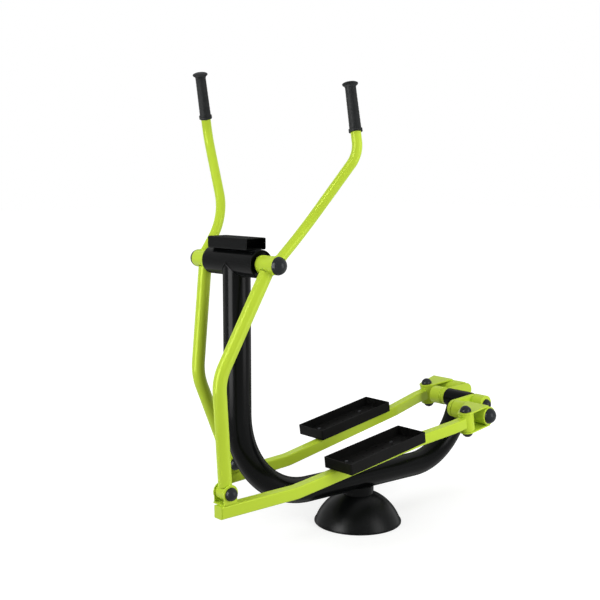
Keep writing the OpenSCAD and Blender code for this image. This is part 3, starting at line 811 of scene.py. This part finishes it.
class TRAINER_OT_base(Build, bpy.types.Operator):
    """Build the domed cover of the foot"""

    bl_idname = "cross_trainer.base"
    bl_label = "Base cover"

    def execute(self, context):
        base = self.sizes(context).base
        lip, edge = 2 * base.cover_lip, 0.0006
        hole = base.neck / 2 + 2 * HAIR

        def arc(radius, height, steps=26):
            ball = (radius**2 + height**2) / (2 * height)
            start, stop = math.asin(min(1.0, radius / ball)), math.asin(hole / ball)
            turns = [start + (stop - start) * k / steps for k in range(steps + 1)]
            return [(ball * math.sin(t), lip + height - ball + ball * math.cos(t)) for t in turns]

        lip_out, lip_in = base.cover / 2, base.cover / 2 - base.cover_lip - base.cover_wall
        profile = [(lip_in, 0.0), (lip_out - edge, 0.0), (lip_out, edge)]
        profile += [(lip_out, lip - 0.0015), (lip_out - edge, lip - 0.0004)]
        profile += arc(base.cover / 2 - base.cover_lip, base.cover_height - lip)
        profile += arc(lip_in, base.cover_height - lip - base.cover_wall)[::-1]
        cover = spin(profile, 128, closed=True)
        put("Base_cover", "frame", cover, REST, "cover_plastic", "base_cover")
        return {"FINISHED"}


# The groove round a crank hub, where it is welded to its arm: start, end and depth
GROOVE = (0.005, 0.007, 0.002)


def arm_face(post, crank):
    """Distance of a crank arm's outer face from the middle plane."""
    return post.housing_length / 2 + crank.arm_side + crank.arm_thickness


class TRAINER_OT_cranks(Build, bpy.types.Operator):
    """Build the crank arms, the hubs outside them and their caps"""

    bl_idname = "cross_trainer.cranks"
    bl_label = "Cranks"

    def execute(self, context):
        sizes = self.sizes(context)
        crank, swivel = sizes.crank, sizes.swivel
        arm_out = arm_face(sizes.post, crank)
        hubs, caps = Shape(), Shape()
        axle = joint_place("crank_turn")
        for side, sign in SIDES.items():
            pin = swivel_frame(side) @ Vector((swivel.reach, 0, 0))
            throw = math.hypot(pin.x - axle.x, pin.z - axle.z)
            turn = math.atan2(pin.z - axle.z, pin.x - axle.x)
            rounds = [
                (centre + crank.arm_radius * math.cos(t), crank.arm_radius * math.sin(t))
                for centre, start in ((throw, -90), (0.0, 90))
                for t in (math.radians(start + 180 * k / 28) for k in range(29))
            ]
            arm = plate(rounds, crank.arm_thickness, 0.0016)
            place = across(axle_frame(turn, sign), arm_out - crank.arm_thickness)
            put(f"Crank_arm_{side}", "crank", arm, place, "green_paint", f"crank_arm_{side}")

            hubs.join(self.hub(crank), across(axle_frame(0.0, sign), arm_out))
            outside = across(axle_frame(0.0, sign), arm_out + crank.hub_length)
            caps.join(dome(crank.cap / 2, crank.cap_height), outside)
        put("Crank_hubs", "crank", hubs, REST, "green_paint", "crank_hubs")
        put("Crank_caps", "crank", caps, REST, "cap_plastic", "crank_caps")
        return {"FINISHED"}

    @staticmethod
    def hub(crank):
        radius, long = crank.hub / 2, crank.hub_length
        start, end, depth = GROOVE
        profile = [(SHAFT_HOLE, 0.0), (radius, 0.0), (radius, start), (radius - depth, start)]
        profile += [(radius - depth, end), (radius, end), (radius, long), (SHAFT_HOLE, long)]
        return lathe(profile, 0.0010, 72)


# Corners and bends of a lever's tubes in its own frame; the first handle corners follow the hub
ELBOW, ELBOW_BEND = (-0.098, 0.138, -0.366), 0.150
HANDLE_BENDS = (0.240, 0.096)
BARREL_BITE = 0.003  # a lower arm ends this far inside its barrel's face
BALL_SHARE = 0.86  # a ball cap's height as a share of its radius


def hub_tube(run, bends, radius, wall, hub_radius):
    """A tube from the hub's middle along the run, cut and welded at the hub's face."""
    start = Vector(run[0])
    ahead = (Vector(run[1]) - start).normalized()
    cut = [start + ahead * (hub_radius - WELD_BITE)] + run[1:]
    tube = pipe(route(cut, bends), radius, radius - wall)
    return tube.join(bead(joint_line(start, ahead, radius, hub_radius + 2 * HAIR)))


def handle_points(side):
    near = [(0, side, 0), (0.100, side - 0.012, 0.126)]
    return near + [(0.159, 0.298, 0.382), (0.117, 0.252, 0.594)]


def fork_gap(lever, bar):
    """Width between a front fork's ears, and the distance of its middle from the middle plane."""
    gap = lever.arm + 2 * bar.side_gap
    return gap, bar.side + bar.width / 2 - bar.ear_thickness - gap / 2


class TRAINER_OT_levers(Build, bpy.types.Operator):
    """Build the lever hubs, the handles with their grips and the lower arms"""

    bl_idname = "cross_trainer.levers"
    bl_label = "Hand levers"

    def execute(self, context):
        sizes = self.sizes(context)
        lever, bar = sizes.lever, sizes.bar
        hub_in = sizes.post.head_length / 2 + bar.side_gap
        hub_out = hub_in + lever.hub_length
        hub_r = lever.hub / 2
        foot = Vector((0, fork_gap(lever, bar)[1], -lever_reach()))
        for side in SIDES:
            place, body = lever_frame(side), f"lever_{side}"
            hub = sleeve(hub_r, lever.hub_bore / 2, hub_in, hub_out, 0.0014)
            put(f"Lever_hub_{side}", body, hub, across(place), "green_paint", f"lever_hub_{side}")

            radius = lever.handle / 2
            points = handle_points(hub_out - radius - 0.001)
            handle = hub_tube(points, HANDLE_BENDS, radius, lever.wall, hub_r)
            put(f"Handle_{side}", body, handle, place, "green_paint", f"handle_{side}")
            top, below = Vector(points[-1]), Vector(points[-2])
            turn = (below - top).normalized().to_track_quat("Z", "Y").to_matrix().to_4x4()
            at_top = place @ Matrix.Translation(top) @ turn
            put(f"Grip_{side}", body, self.grip(lever), at_top, "grip_rubber", f"grip_{side}")

            radius = lever.arm / 2
            toward = (Vector(ELBOW) - foot).normalized()
            end = foot + toward * (lever.barrel / 2 - BARREL_BITE)
            run = [(0, hub_in + lever.hub_length / 2, 0), ELBOW, end]
            arm = hub_tube(run, [ELBOW_BEND], radius, lever.wall, hub_r)
            outer = lever.barrel / 2
            barrel = sleeve(outer, outer - lever.barrel_wall, -radius, radius, 0.0010)
            arm.join(barrel, across(Matrix.Translation(foot)))
            put(f"Lower_arm_{side}", body, arm, place, "green_paint", f"lower_arm_{side}")

            cap, at_cap = dome(hub_r, BALL_SHARE * hub_r, 0.001), across(place, hub_out)
            put(f"Hub_cap_{side}", body, cap, at_cap, "cap_plastic", f"hub_cap_{side}")
        return {"FINISHED"}

    @staticmethod
    def grip(lever):
        """A rubber grip about Z from its top down: flange, ringed body and collar."""
        r, reach, bore = lever.grip / 2, lever.grip_length, lever.handle / 2 + HAIR
        flange, collar = r + 0.006, r + 0.0025
        waist, foot = r - 0.0018, r - 0.0004
        body = [(bore, reach), (collar, reach), (collar, reach - 0.010), (foot, reach - 0.0115)]
        first_ring, ring_step, ring_depth = 0.030, 0.013, 0.0004
        for k in range(8)[::-1]:
            z = first_ring + ring_step * k
            around = waist + (foot - waist) * (z - 0.016) / (reach - 0.026)
            low = around - ring_depth
            body += [(around, z + 0.0034), (low, z + 0.0028), (low, z + 0.0006), (around, z)]
        top = [(waist, 0.013), (waist + 0.0025, 0.0075), (flange - 0.0015, 0.0050)]
        top += [(flange, 0.0025), (flange - 0.0008, 0.0002), (flange - 0.005, -0.0020)]
        top += [(flange * 0.45, -0.0036), (0.0, -0.004)]
        return spin([(0.0, 0.001), (bore, 0.001)] + softened(body, 0.0008) + top, 56)


# Side view of a foot bar: its knee behind the front pivot, and the knee's bend
KNEE_AT, KNEE_BEND = 0.265, 0.220
# View from above: where a bar spreads outwards, how far and with what bends
SPREAD_FROM, SPREAD_TO, SPREAD_SIDE, SPREAD_BEND = 0.850, 1.010, 0.176, 0.220
PLAN_START, PLAN_END = -0.060, 1.3
# A tray's seats: height, length, share of the tray's width; and the bolts' place on the tray
PAD, PAD_LENGTH, PAD_SHARE = 0.004, 0.050, 0.72
TRAY_BOLT_AT = (0.3, 0.27)
END_THICKNESS, END_CORNER = 0.0034, 0.003
# A bar runs this far into its boss, and an ear is this much narrower below its round top
BOSS_BITE, EAR_WAIST = 0.010, 0.003


def bar_lines(bar, swivel):
    """Start, knee and swivel centre of a foot bar in side view, and its rear stretch's slope."""
    pin = swivel_frame("left") @ Vector((swivel.reach, 0, 0))
    pivot = joint_place("bar_left_pitch")
    reach = math.hypot(pin.x - pivot.x, pin.z - pivot.z)
    centre = Vector((reach, 0)) - spun((swivel.reach, 0), swivel.tilt)
    foot = spun((0, -bar.rise), bar.slope)
    knee = foot + spun((KNEE_AT - foot.x, 0), bar.slope) / math.cos(bar.slope)
    start = foot + spun((-bar.front, 0), bar.slope)
    return start, knee, centre, math.atan2(centre.y - knee.y, centre.x - knee.x)


def pedal_frame(sizes, side):
    """Origin in the middle of a tray's underside."""
    bar, swivel, pedal = sizes.bar, sizes.swivel, sizes.pedal
    _start, knee, _centre, back = bar_lines(bar, swivel)
    foot = knee + spun(((pedal.along - knee.x) / math.cos(back), 0), back)
    seat = foot + spun((0, bar.height / 2 + PAD), back)
    return bar_frame(side, swivel.tilt) @ turned((seat.x, pedal.side, seat.y), back)


def follow(line, x):
    """Value and slope of a line of points at x."""
    for a, b in zip(line, line[1:]):
        if a.x <= x + 1e-9 and x <= b.x + 1e-9:
            share = (x - a.x) / (b.x - a.x)
            return a.y + (b.y - a.y) * share, math.atan2(b.y - a.y, b.x - a.x)
    raise ValueError(f"the line doesn't reach {x}")


class TRAINER_OT_foot_bars(Build, bpy.types.Operator):
    """Build the foot bars with their end plates, forks and bosses"""

    bl_idname = "cross_trainer.foot_bars"
    bl_label = "Foot bars"

    def execute(self, context):
        sizes = self.sizes(context)
        bar, swivel = sizes.bar, sizes.swivel
        lines = bar_lines(bar, swivel)
        start = lines[0]
        shape = self.bent_bar(bar, swivel, *lines[:3])
        for side in SIDES:
            place, body = bar_frame(side, swivel.tilt), f"bar_{side}"
            solid = Shape().join(shape)
            self.pads(sizes, solid, side, place)
            put(f"Foot_bar_{side}", body, solid, place, "green_paint", f"foot_bar_{side}")

            outline = rounded_rectangle(bar.height, bar.width, END_CORNER)
            face = plate(outline, END_THICKNESS, 0.0009)
            at_end = place @ turned((start.x, bar.side, start.y), bar.slope)
            at_end = at_end @ Matrix.Translation((-END_THICKNESS - HAIR, 0, 0))
            at_end = at_end @ Matrix.Rotation(math.pi / 2, 4, "Y")
            put(f"Bar_end_{side}", body, face, at_end, "green_paint", f"bar_end_{side}")

            self.fork(bar, sizes.lever, sizes.crank, side, place)
            half = swivel.pin_tube / 2 - bar.side_gap
            boss = sleeve(swivel.boss / 2, swivel.bolt / 2 + HAIR / 2, -half, half, 0.0012)
            at_bolt, node = swivel_frame(side), f"swivel_boss_{side}"
            put(f"Swivel_boss_{side}", body, boss, at_bolt, "green_paint", node)
        return {"FINISHED"}

    @staticmethod
    def bent_bar(bar, swivel, start, knee, centre):
        """The square tube, bent at its knee in side view and outwards in the view from above."""
        out = abs(joint_place("clevis_left_swivel").y)
        corners = [(*start, 0), (*knee, 0), (*centre, 0)]
        height_line = route(corners, [KNEE_BEND], math.radians(0.8))
        plan = [(PLAN_START, bar.side, 0), (SPREAD_FROM, SPREAD_SIDE, 0), (SPREAD_TO, out, 0)]
        plan_line = route(plan + [(PLAN_END, out, 0)], [SPREAD_BEND] * 2, math.radians(1.5))
        stop = centre.x - swivel.boss / 2 + BOSS_BITE
        marks = {round(p.x, 5) for p in height_line + plan_line if start.x < p.x < stop}
        marks = sorted(marks | {round(stop, 5)})
        outline = rounded_rectangle(1.0, 1.0, bar.corner / bar.width, 4)
        rings = []
        for x in [start.x] + [m for m in marks if m > start.x + 0.001]:
            z, climb = follow(height_line, x)
            y, spread = follow(plan_line, x)
            wide, high = bar.width / math.cos(spread), bar.height / math.cos(climb)
            lean = high * math.tan(climb) if x == start.x else 0.0
            ring = [(x - v * lean, y + u * wide, z + v * high) for u, v in outline]
            rings.append([Vector(p) for p in ring])
        return skin(rings)

    @staticmethod
    def pads(sizes, shape, side, place):
        """The two seats under a tray."""
        pedal = sizes.pedal
        seat = place.inverted() @ pedal_frame(sizes, side)
        outline = rounded_rectangle(PAD_LENGTH, pedal.width * PAD_SHARE, 0.002)
        for share in (-TRAY_BOLT_AT[0], TRAY_BOLT_AT[0]):
            pad = plate(outline, PAD + 0.0004, 0.0006)
            shape.join(pad, seat @ Matrix.Translation((share * pedal.length, 0, -PAD - 0.0005)))

    @staticmethod
    def fork(bar, lever, crank, side, place):
        """Two rounded ears on a foot plate, and the caps over the pivot's nuts."""
        gap, pivot_side = fork_gap(lever, bar)
        seat = bar.height / 2 - bar.rise + HAIR
        r, t = bar.ear_radius, bar.ear_thickness
        at_pivot = place @ turned((0, pivot_side, 0), bar.slope)
        waist = r - EAR_WAIST
        start = -math.acos(waist / r)
        sweep = math.pi - 2 * start
        turns = [start + sweep * k / 36 for k in range(37)]
        ear = [(waist, seat)] + [(r * math.cos(a), r * math.sin(a)) for a in turns]
        ear.append((-waist, seat))
        fork, caps = Shape(), Shape()
        for y in (-gap / 2 - t, gap / 2):
            upright = Matrix.Translation((0, y + t, 0)) @ Matrix.Rotation(math.pi / 2, 4, "X")
            fork.join(plate(ear, t, 0.0008), upright)
        foot = rounded_rectangle(2 * r, gap + 2 * t, 0.0015)
        fork.join(plate(foot, t, 0.0008), Matrix.Translation((0, 0, seat)))
        for sign in (-1.0, 1.0):
            outward = Matrix.Rotation(-sign * math.pi / 2, 4, "X")
            face = Matrix.Translation((0, sign * (gap / 2 + t + HAIR), 0))
            caps.join(dome(crank.cap / 2, crank.cap_height), face @ outward)
        body = f"bar_{side}"
        put(f"Front_fork_{side}", body, fork, at_pivot, "green_paint", f"front_bracket_{side}")
        put(f"Front_caps_{side}", body, caps, at_pivot, "cap_plastic", f"front_caps_{side}")


# Studs on a tray's floor: radius, height and rim, rows across and the rows' free end
STUD = (0.0042, 0.0012, 0.0004)
STUD_ROWS, STUD_MARGIN = (-0.38, -0.13, 0.13, 0.38), 0.03


class TRAINER_OT_pedals(Build, bpy.types.Operator):
    """Build the pedal trays with their studs and bolts"""

    bl_idname = "cross_trainer.pedals"
    bl_label = "Pedal trays"

    def execute(self, context):
        sizes = self.sizes(context)
        pedal = sizes.pedal
        along, aside = TRAY_BOLT_AT
        for side in SIDES:
            place, body = pedal_frame(sizes, side), f"bar_{side}"
            put(f"Pedal_{side}", body, self.tray(pedal), place, "tray_paint", f"pedal_{side}")
            bolts = Shape()
            for x in (-along, along):
                for y in (-aside, aside):
                    spot = (x * pedal.length, y * pedal.width, pedal.floor)
                    head = dome(0.875 * pedal.bolt, 0.375 * pedal.bolt, 0.001)
                    bolts.join(head, Matrix.Translation(spot))
            name, node = f"Pedal_bolts_{side}", f"pedal_bolts_{side}"
            put(name, body, bolts, place, "bare_steel", node, coat="Blackened steel")
        return {"FINISHED"}

    @staticmethod
    def tray(pedal):
        """A pressed tray with soft rims and rows of low studs on its floor."""

        def ring(inset, z, corner):
            long, wide = pedal.length - 2 * inset, pedal.width - 2 * inset
            return [Vector((x, y, z)) for x, y in rounded_rectangle(long, wide, corner, 5)]

        wall, top, soft, corner = pedal.wall, pedal.height, 0.0012, pedal.corner
        inside = max(0.001, corner - wall)
        rings = [
            ring(soft * 2, 0.0, corner * 0.6),
            ring(soft * 0.6, soft * 0.6, corner * 0.9),
            ring(0.0, soft * 2, corner),
            ring(0.0, top - soft, corner),
            ring(soft * 0.3, top - soft * 0.3, corner * 0.95),
            ring(soft, top, corner * 0.8),
            ring(wall - soft, top, inside + soft),
            ring(wall - soft * 0.3, top - soft * 0.3, inside),
            ring(wall, top - soft, inside),
            ring(wall, pedal.floor + 0.003, inside),
            ring(wall + 0.0009, pedal.floor + 0.0009, inside),
            ring(wall + 0.003, pedal.floor, inside),
        ]
        tray = skin(rings)
        long, wide = pedal.length - STUD_MARGIN, pedal.width - 2 * wall
        for i in range(pedal.studs):
            share = (i + 0.5) / pedal.studs - 0.5
            for row in STUD_ROWS:
                spot = Matrix.Translation((share * long, row * wide, pedal.floor - HAIR))
                tray.join(dome(*STUD, 4), spot)
        return tray


# A swivel plate reaches past the boss all round and past the pin's axis, and ends short of
# the pin tube's outer end
PLATE_ROUND, PLATE_BEHIND, PLATE_SHORT = 0.0015, 0.004, 0.003


class TRAINER_OT_swivels(Build, bpy.types.Operator):
    """Build the swivel plates, the tubes round the crank pins and their caps"""

    bl_idname = "cross_trainer.swivels"
    bl_label = "Swivels"

    def execute(self, context):
        sizes = self.sizes(context)
        swivel, crank = sizes.swivel, sizes.crank
        arm_out = arm_face(sizes.post, crank)
        tube_in = arm_out + swivel.arm_gap - abs(joint_place("clevis_left_swivel").y)
        tube_out = tube_in + swivel.pin_tube_length
        r = swivel.pin_tube / 2
        outline = self.outline(swivel, tube_out)
        for side in SIDES:
            place, body = swivel_frame(side), f"clevis_{side}"
            pair, caps = Shape(), Shape()
            for lift in (-r - swivel.plate, r):
                pair.join(plate(outline, swivel.plate, 0.0010), Matrix.Translation((0, 0, lift)))
            put(f"Swivel_plates_{side}", body, pair, place, "green_paint", f"clevis_{side}")

            at_pin = place @ Matrix.Translation((swivel.reach, 0, 0))
            tube = sleeve(r, r - swivel.pin_tube_wall, tube_in, tube_out, 0.0012)
            put(f"Pin_tube_{side}", body, tube, across(at_pin), "green_paint", f"pin_tube_{side}")
            cap = dome(swivel.pin_cap / 2, swivel.pin_cap_height, 0.001)
            at_cap = across(at_pin, tube_out)
            put(f"Pin_cap_{side}", body, cap, at_cap, "cap_plastic", f"pin_cap_{side}")

            stand = r + swivel.plate + HAIR
            cap = dome(crank.cap / 2, crank.cap_height)
            caps.join(cap, Matrix.Translation((0, 0, stand)))
            under = Matrix.Translation((0, 0, -stand)) @ Matrix.Rotation(math.pi, 4, "X")
            caps.join(cap, under)
            put(f"Swivel_caps_{side}", body, caps, place, "cap_plastic", f"swivel_caps_{side}")
        return {"FINISHED"}

    @staticmethod
    def outline(swivel, tube_out):
        """Round in front about the swivel, straight behind along the pin tube."""
        r = swivel.boss / 2 + PLATE_ROUND
        near = Vector((swivel.reach + PLATE_BEHIND, -swivel.plate_reach))
        far = Vector((swivel.reach + PLATE_BEHIND, tube_out - PLATE_SHORT))

        def touch(q, sign):
            return math.atan2(q.y, q.x) + sign * math.acos(r / q.length)

        start, stop = touch(far, 1.0), touch(near, -1.0) + 2 * math.pi
        arc = [start + (stop - start) * k / 48 for k in range(49)]
        return [tuple(near), tuple(far)] + [(r * math.cos(t), r * math.sin(t)) for t in arc]


class TRAINER_OT_inner_parts(Build, bpy.types.Operator):
    """Give the CAD nodes that no piece replaces their finishes"""

    bl_idname = "cross_trainer.inner_parts"
    bl_label = "Inner parts"

    def execute(self, context):
        slots = {row["node"]: row["material_slot"] for row in frame["record"]["subparts"]}
        for name, node in frame["nodes"].items():
            if node.hide_render:
                continue
            node.data.materials.clear()
            node.data.materials.append(bpy.data.materials[FINISH_OF_SLOT[slots[name]]])
        return {"FINISHED"}


# Name, place, size and radiance of the lamps, and of the panels that only reflections show
LAMPS = (
    ("Left light", (-2.95, 0.60, 1.50), (1.6, 2.2), 4.6),
    ("Right light", (0.55, -2.95, 1.30), (1.6, 2.2), 6.7),
    ("Top light", (-0.3, -0.3, 3.60), (2.4, 2.4), 1.0),
)
PANELS = (
    ("Left panel", (-3.00, 0.16, 1.30), (1.5, 2.6), 16.0),
    ("Right panel", (0.75, -2.95, 1.30), (1.5, 2.6), 6.5),
)
# The height on the machine's middle line that the lamps point at
LAMP_TARGET = 0.5
WORLD_LIGHT = 0.44
WHITE = (1.0, 1.0, 1.0, 1.0)
FLOOR_REACH, FLOOR_LEVEL = 30.0, -0.0005
# The floor's own glow grows from the foot outwards (metres and strengths), which keeps the
# shadow at the foot and the far floor white
FLOOR_GLOW = {"From Min": 0.25, "From Max": 1.5, "To Min": 0.66, "To Max": 0.90}
CAMERA_PLACE = (-2.50025, -2.47901, 1.24905)
CAMERA_RIGHT = (0.74520134, -0.66683953, 0.0)
CAMERA_UP = (0.08280422, 0.09253473, 0.99226044)
CAMERA_LENS, CAMERA_SENSOR = 59.917, 36.0


def sheet(name, wide, high, z=0.0):
    """A flat rectangle and the empty material that it wears."""
    mesh = bpy.data.meshes.new(name)
    corners = [(-wide, -high, z), (wide, -high, z), (wide, high, z), (-wide, high, z)]
    mesh.from_pydata(corners, [], [(0, 1, 2, 3)])
    coat = bpy.data.materials.new(name)
    coat.use_nodes = True
    coat.node_tree.nodes.clear()
    mesh.materials.append(coat)
    return bpy.data.objects.new(name, mesh), coat


class TRAINER_OT_stage(Build, bpy.types.Operator):
    """Set the plain floor, the lamps, the pale surroundings and the camera"""

    bl_idname = "cross_trainer.stage"
    bl_label = "Stage"

    def execute(self, context):
        scene = context.scene
        scene.view_settings.view_transform = "Standard"
        self.camera(scene)
        self.floor(self.sizes(context).finish.floor)
        self.surroundings(scene)
        for row in LAMPS:
            self.lamp(*row)
        for row in PANELS:
            self.panel(*row)
        return {"FINISHED"}

    @staticmethod
    def camera(scene):
        data = bpy.data.cameras.new("Photograph")
        data.lens, data.sensor_width = CAMERA_LENS, CAMERA_SENSOR
        camera = bpy.data.objects.new("Photograph", data)
        right, up = Vector(CAMERA_RIGHT), Vector(CAMERA_UP)
        turn = Matrix((right, up, right.cross(up))).transposed().to_4x4()
        camera.matrix_world = Matrix.Translation(CAMERA_PLACE) @ turn
        scene.collection.objects.link(camera)
        scene.camera = camera

    @staticmethod
    def pale(tree):
        """1 for camera, glossy and transmission rays, 0 for rays that light the object."""
        ray = add_node(tree, "LightPath")
        seen = add_node(tree, "Math", operation="MAXIMUM")
        either = add_node(tree, "Math", operation="MAXIMUM")
        wire(
            tree,
            (ray, "Is Camera Ray", seen, 0),
            (ray, "Is Glossy Ray", seen, 1),
            (seen, 0, either, 0),
            (ray, "Is Transmission Ray", either, 1),
        )
        return either

    def floor(self, color):
        floor, coat = sheet("Floor", FLOOR_REACH, FLOOR_REACH, FLOOR_LEVEL)
        bpy.context.scene.collection.objects.link(floor)
        tree = coat.node_tree
        out = add_node(tree, "OutputMaterial")
        plain = add_node(tree, "BsdfDiffuse", {"Color": (*color, 1.0)})
        glow = add_node(tree, "Emission")
        both = add_node(tree, "AddShader")
        part = add_node(tree, "Math", operation="MULTIPLY")
        where = add_node(tree, "TexCoord")
        away = add_node(tree, "VectorMath", operation="LENGTH")
        fade = add_node(tree, "MapRange", FLOOR_GLOW)
        wire(
            tree,
            (where, "Object", away, 0),
            (away, "Value", fade, "Value"),
            (self.pale(tree), 0, part, 0),
            (fade, "Result", part, 1),
            (part, 0, glow, "Strength"),
            (plain, 0, both, 0),
            (glow, 0, both, 1),
            (both, 0, out, "Surface"),
        )

    def surroundings(self, scene):
        world = bpy.data.worlds.new("Pale surroundings")
        world.use_nodes = True
        scene.world = world
        tree = world.node_tree
        tree.nodes.clear()
        out = add_node(tree, "OutputWorld")
        light = add_node(tree, "Background", {"Color": WHITE, "Strength": WORLD_LIGHT})
        white = add_node(tree, "Background", {"Color": WHITE})
        mix = add_node(tree, "MixShader")
        wire(
            tree,
            (self.pale(tree), 0, mix, "Fac"),
            (light, 0, mix, 1),
            (white, 0, mix, 2),
            (mix, 0, out, "Surface"),
        )

    @staticmethod
    def aim(thing, place, height):
        """Sets a lamp or panel at its place, turned to the middle line at the given height."""
        thing.location = place
        back = Vector((place[0], place[1], place[2] - height))
        thing.rotation_euler = back.to_track_quat("Z", "Y").to_euler()
        bpy.context.scene.collection.objects.link(thing)

    def lamp(self, name, place, size, radiance):
        data = bpy.data.lights.new(name, "AREA")
        data.shape = "RECTANGLE"
        data.size, data.size_y = size
        data.energy = radiance * math.pi * size[0] * size[1]
        lamp = bpy.data.objects.new(name, data)
        lamp.visible_camera = lamp.visible_glossy = False
        self.aim(lamp, place, LAMP_TARGET)

    def panel(self, name, place, size, radiance):
        """A softbox that shows in glossy paint and lights nothing else."""
        panel, glow = sheet(name, size[0] / 2, size[1] / 2)
        light = add_node(glow.node_tree, "Emission", {"Strength": radiance})
        out = add_node(glow.node_tree, "OutputMaterial")
        wire(glow.node_tree, (light, 0, out, "Surface"))
        glow.cycles.emission_sampling = "NONE"
        panel.visible_camera = panel.visible_diffuse = panel.visible_shadow = False
        panel.visible_transmission = False
        self.aim(panel, place, place[2])


STEPS = (
    TRAINER_OT_stage,
    TRAINER_OT_finishes,
    TRAINER_OT_post,
    TRAINER_OT_base,
    TRAINER_OT_cranks,
    TRAINER_OT_levers,
    TRAINER_OT_foot_bars,
    TRAINER_OT_pedals,
    TRAINER_OT_swivels,
    TRAINER_OT_inner_parts,
)


class TRAINER_PT_panel(bpy.types.Panel):
    """Lists what this file builds"""

    bl_idname = "TRAINER_PT_panel"
    bl_label = "Cross Trainer"
    bl_space_type = "VIEW_3D"
    bl_region_type = "UI"
    bl_category = "Cross Trainer"

    def draw(self, context):
        for step in STEPS:
            self.layout.operator(step.bl_idname)


GROUPS = (
    PostSizes,
    BaseSizes,
    CrankSizes,
    LeverSizes,
    BarSizes,
    PedalSizes,
    SwivelSizes,
    Finishes,
    TrainerSettings,
)


def register():
    for cls in (*GROUPS, *STEPS, TRAINER_PT_panel):
        bpy.utils.register_class(cls)
    bpy.types.Scene.cross_trainer = PointerProperty(type=TrainerSettings)


def unregister():
    del bpy.types.Scene.cross_trainer
    for cls in reversed((*GROUPS, *STEPS, TRAINER_PT_panel)):
        bpy.utils.unregister_class(cls)


def main():
    register()
    for step in STEPS:
        family, action = step.bl_idname.split(".")
        getattr(getattr(bpy.ops, family), action)()


if __name__ == "__main__":
    main()
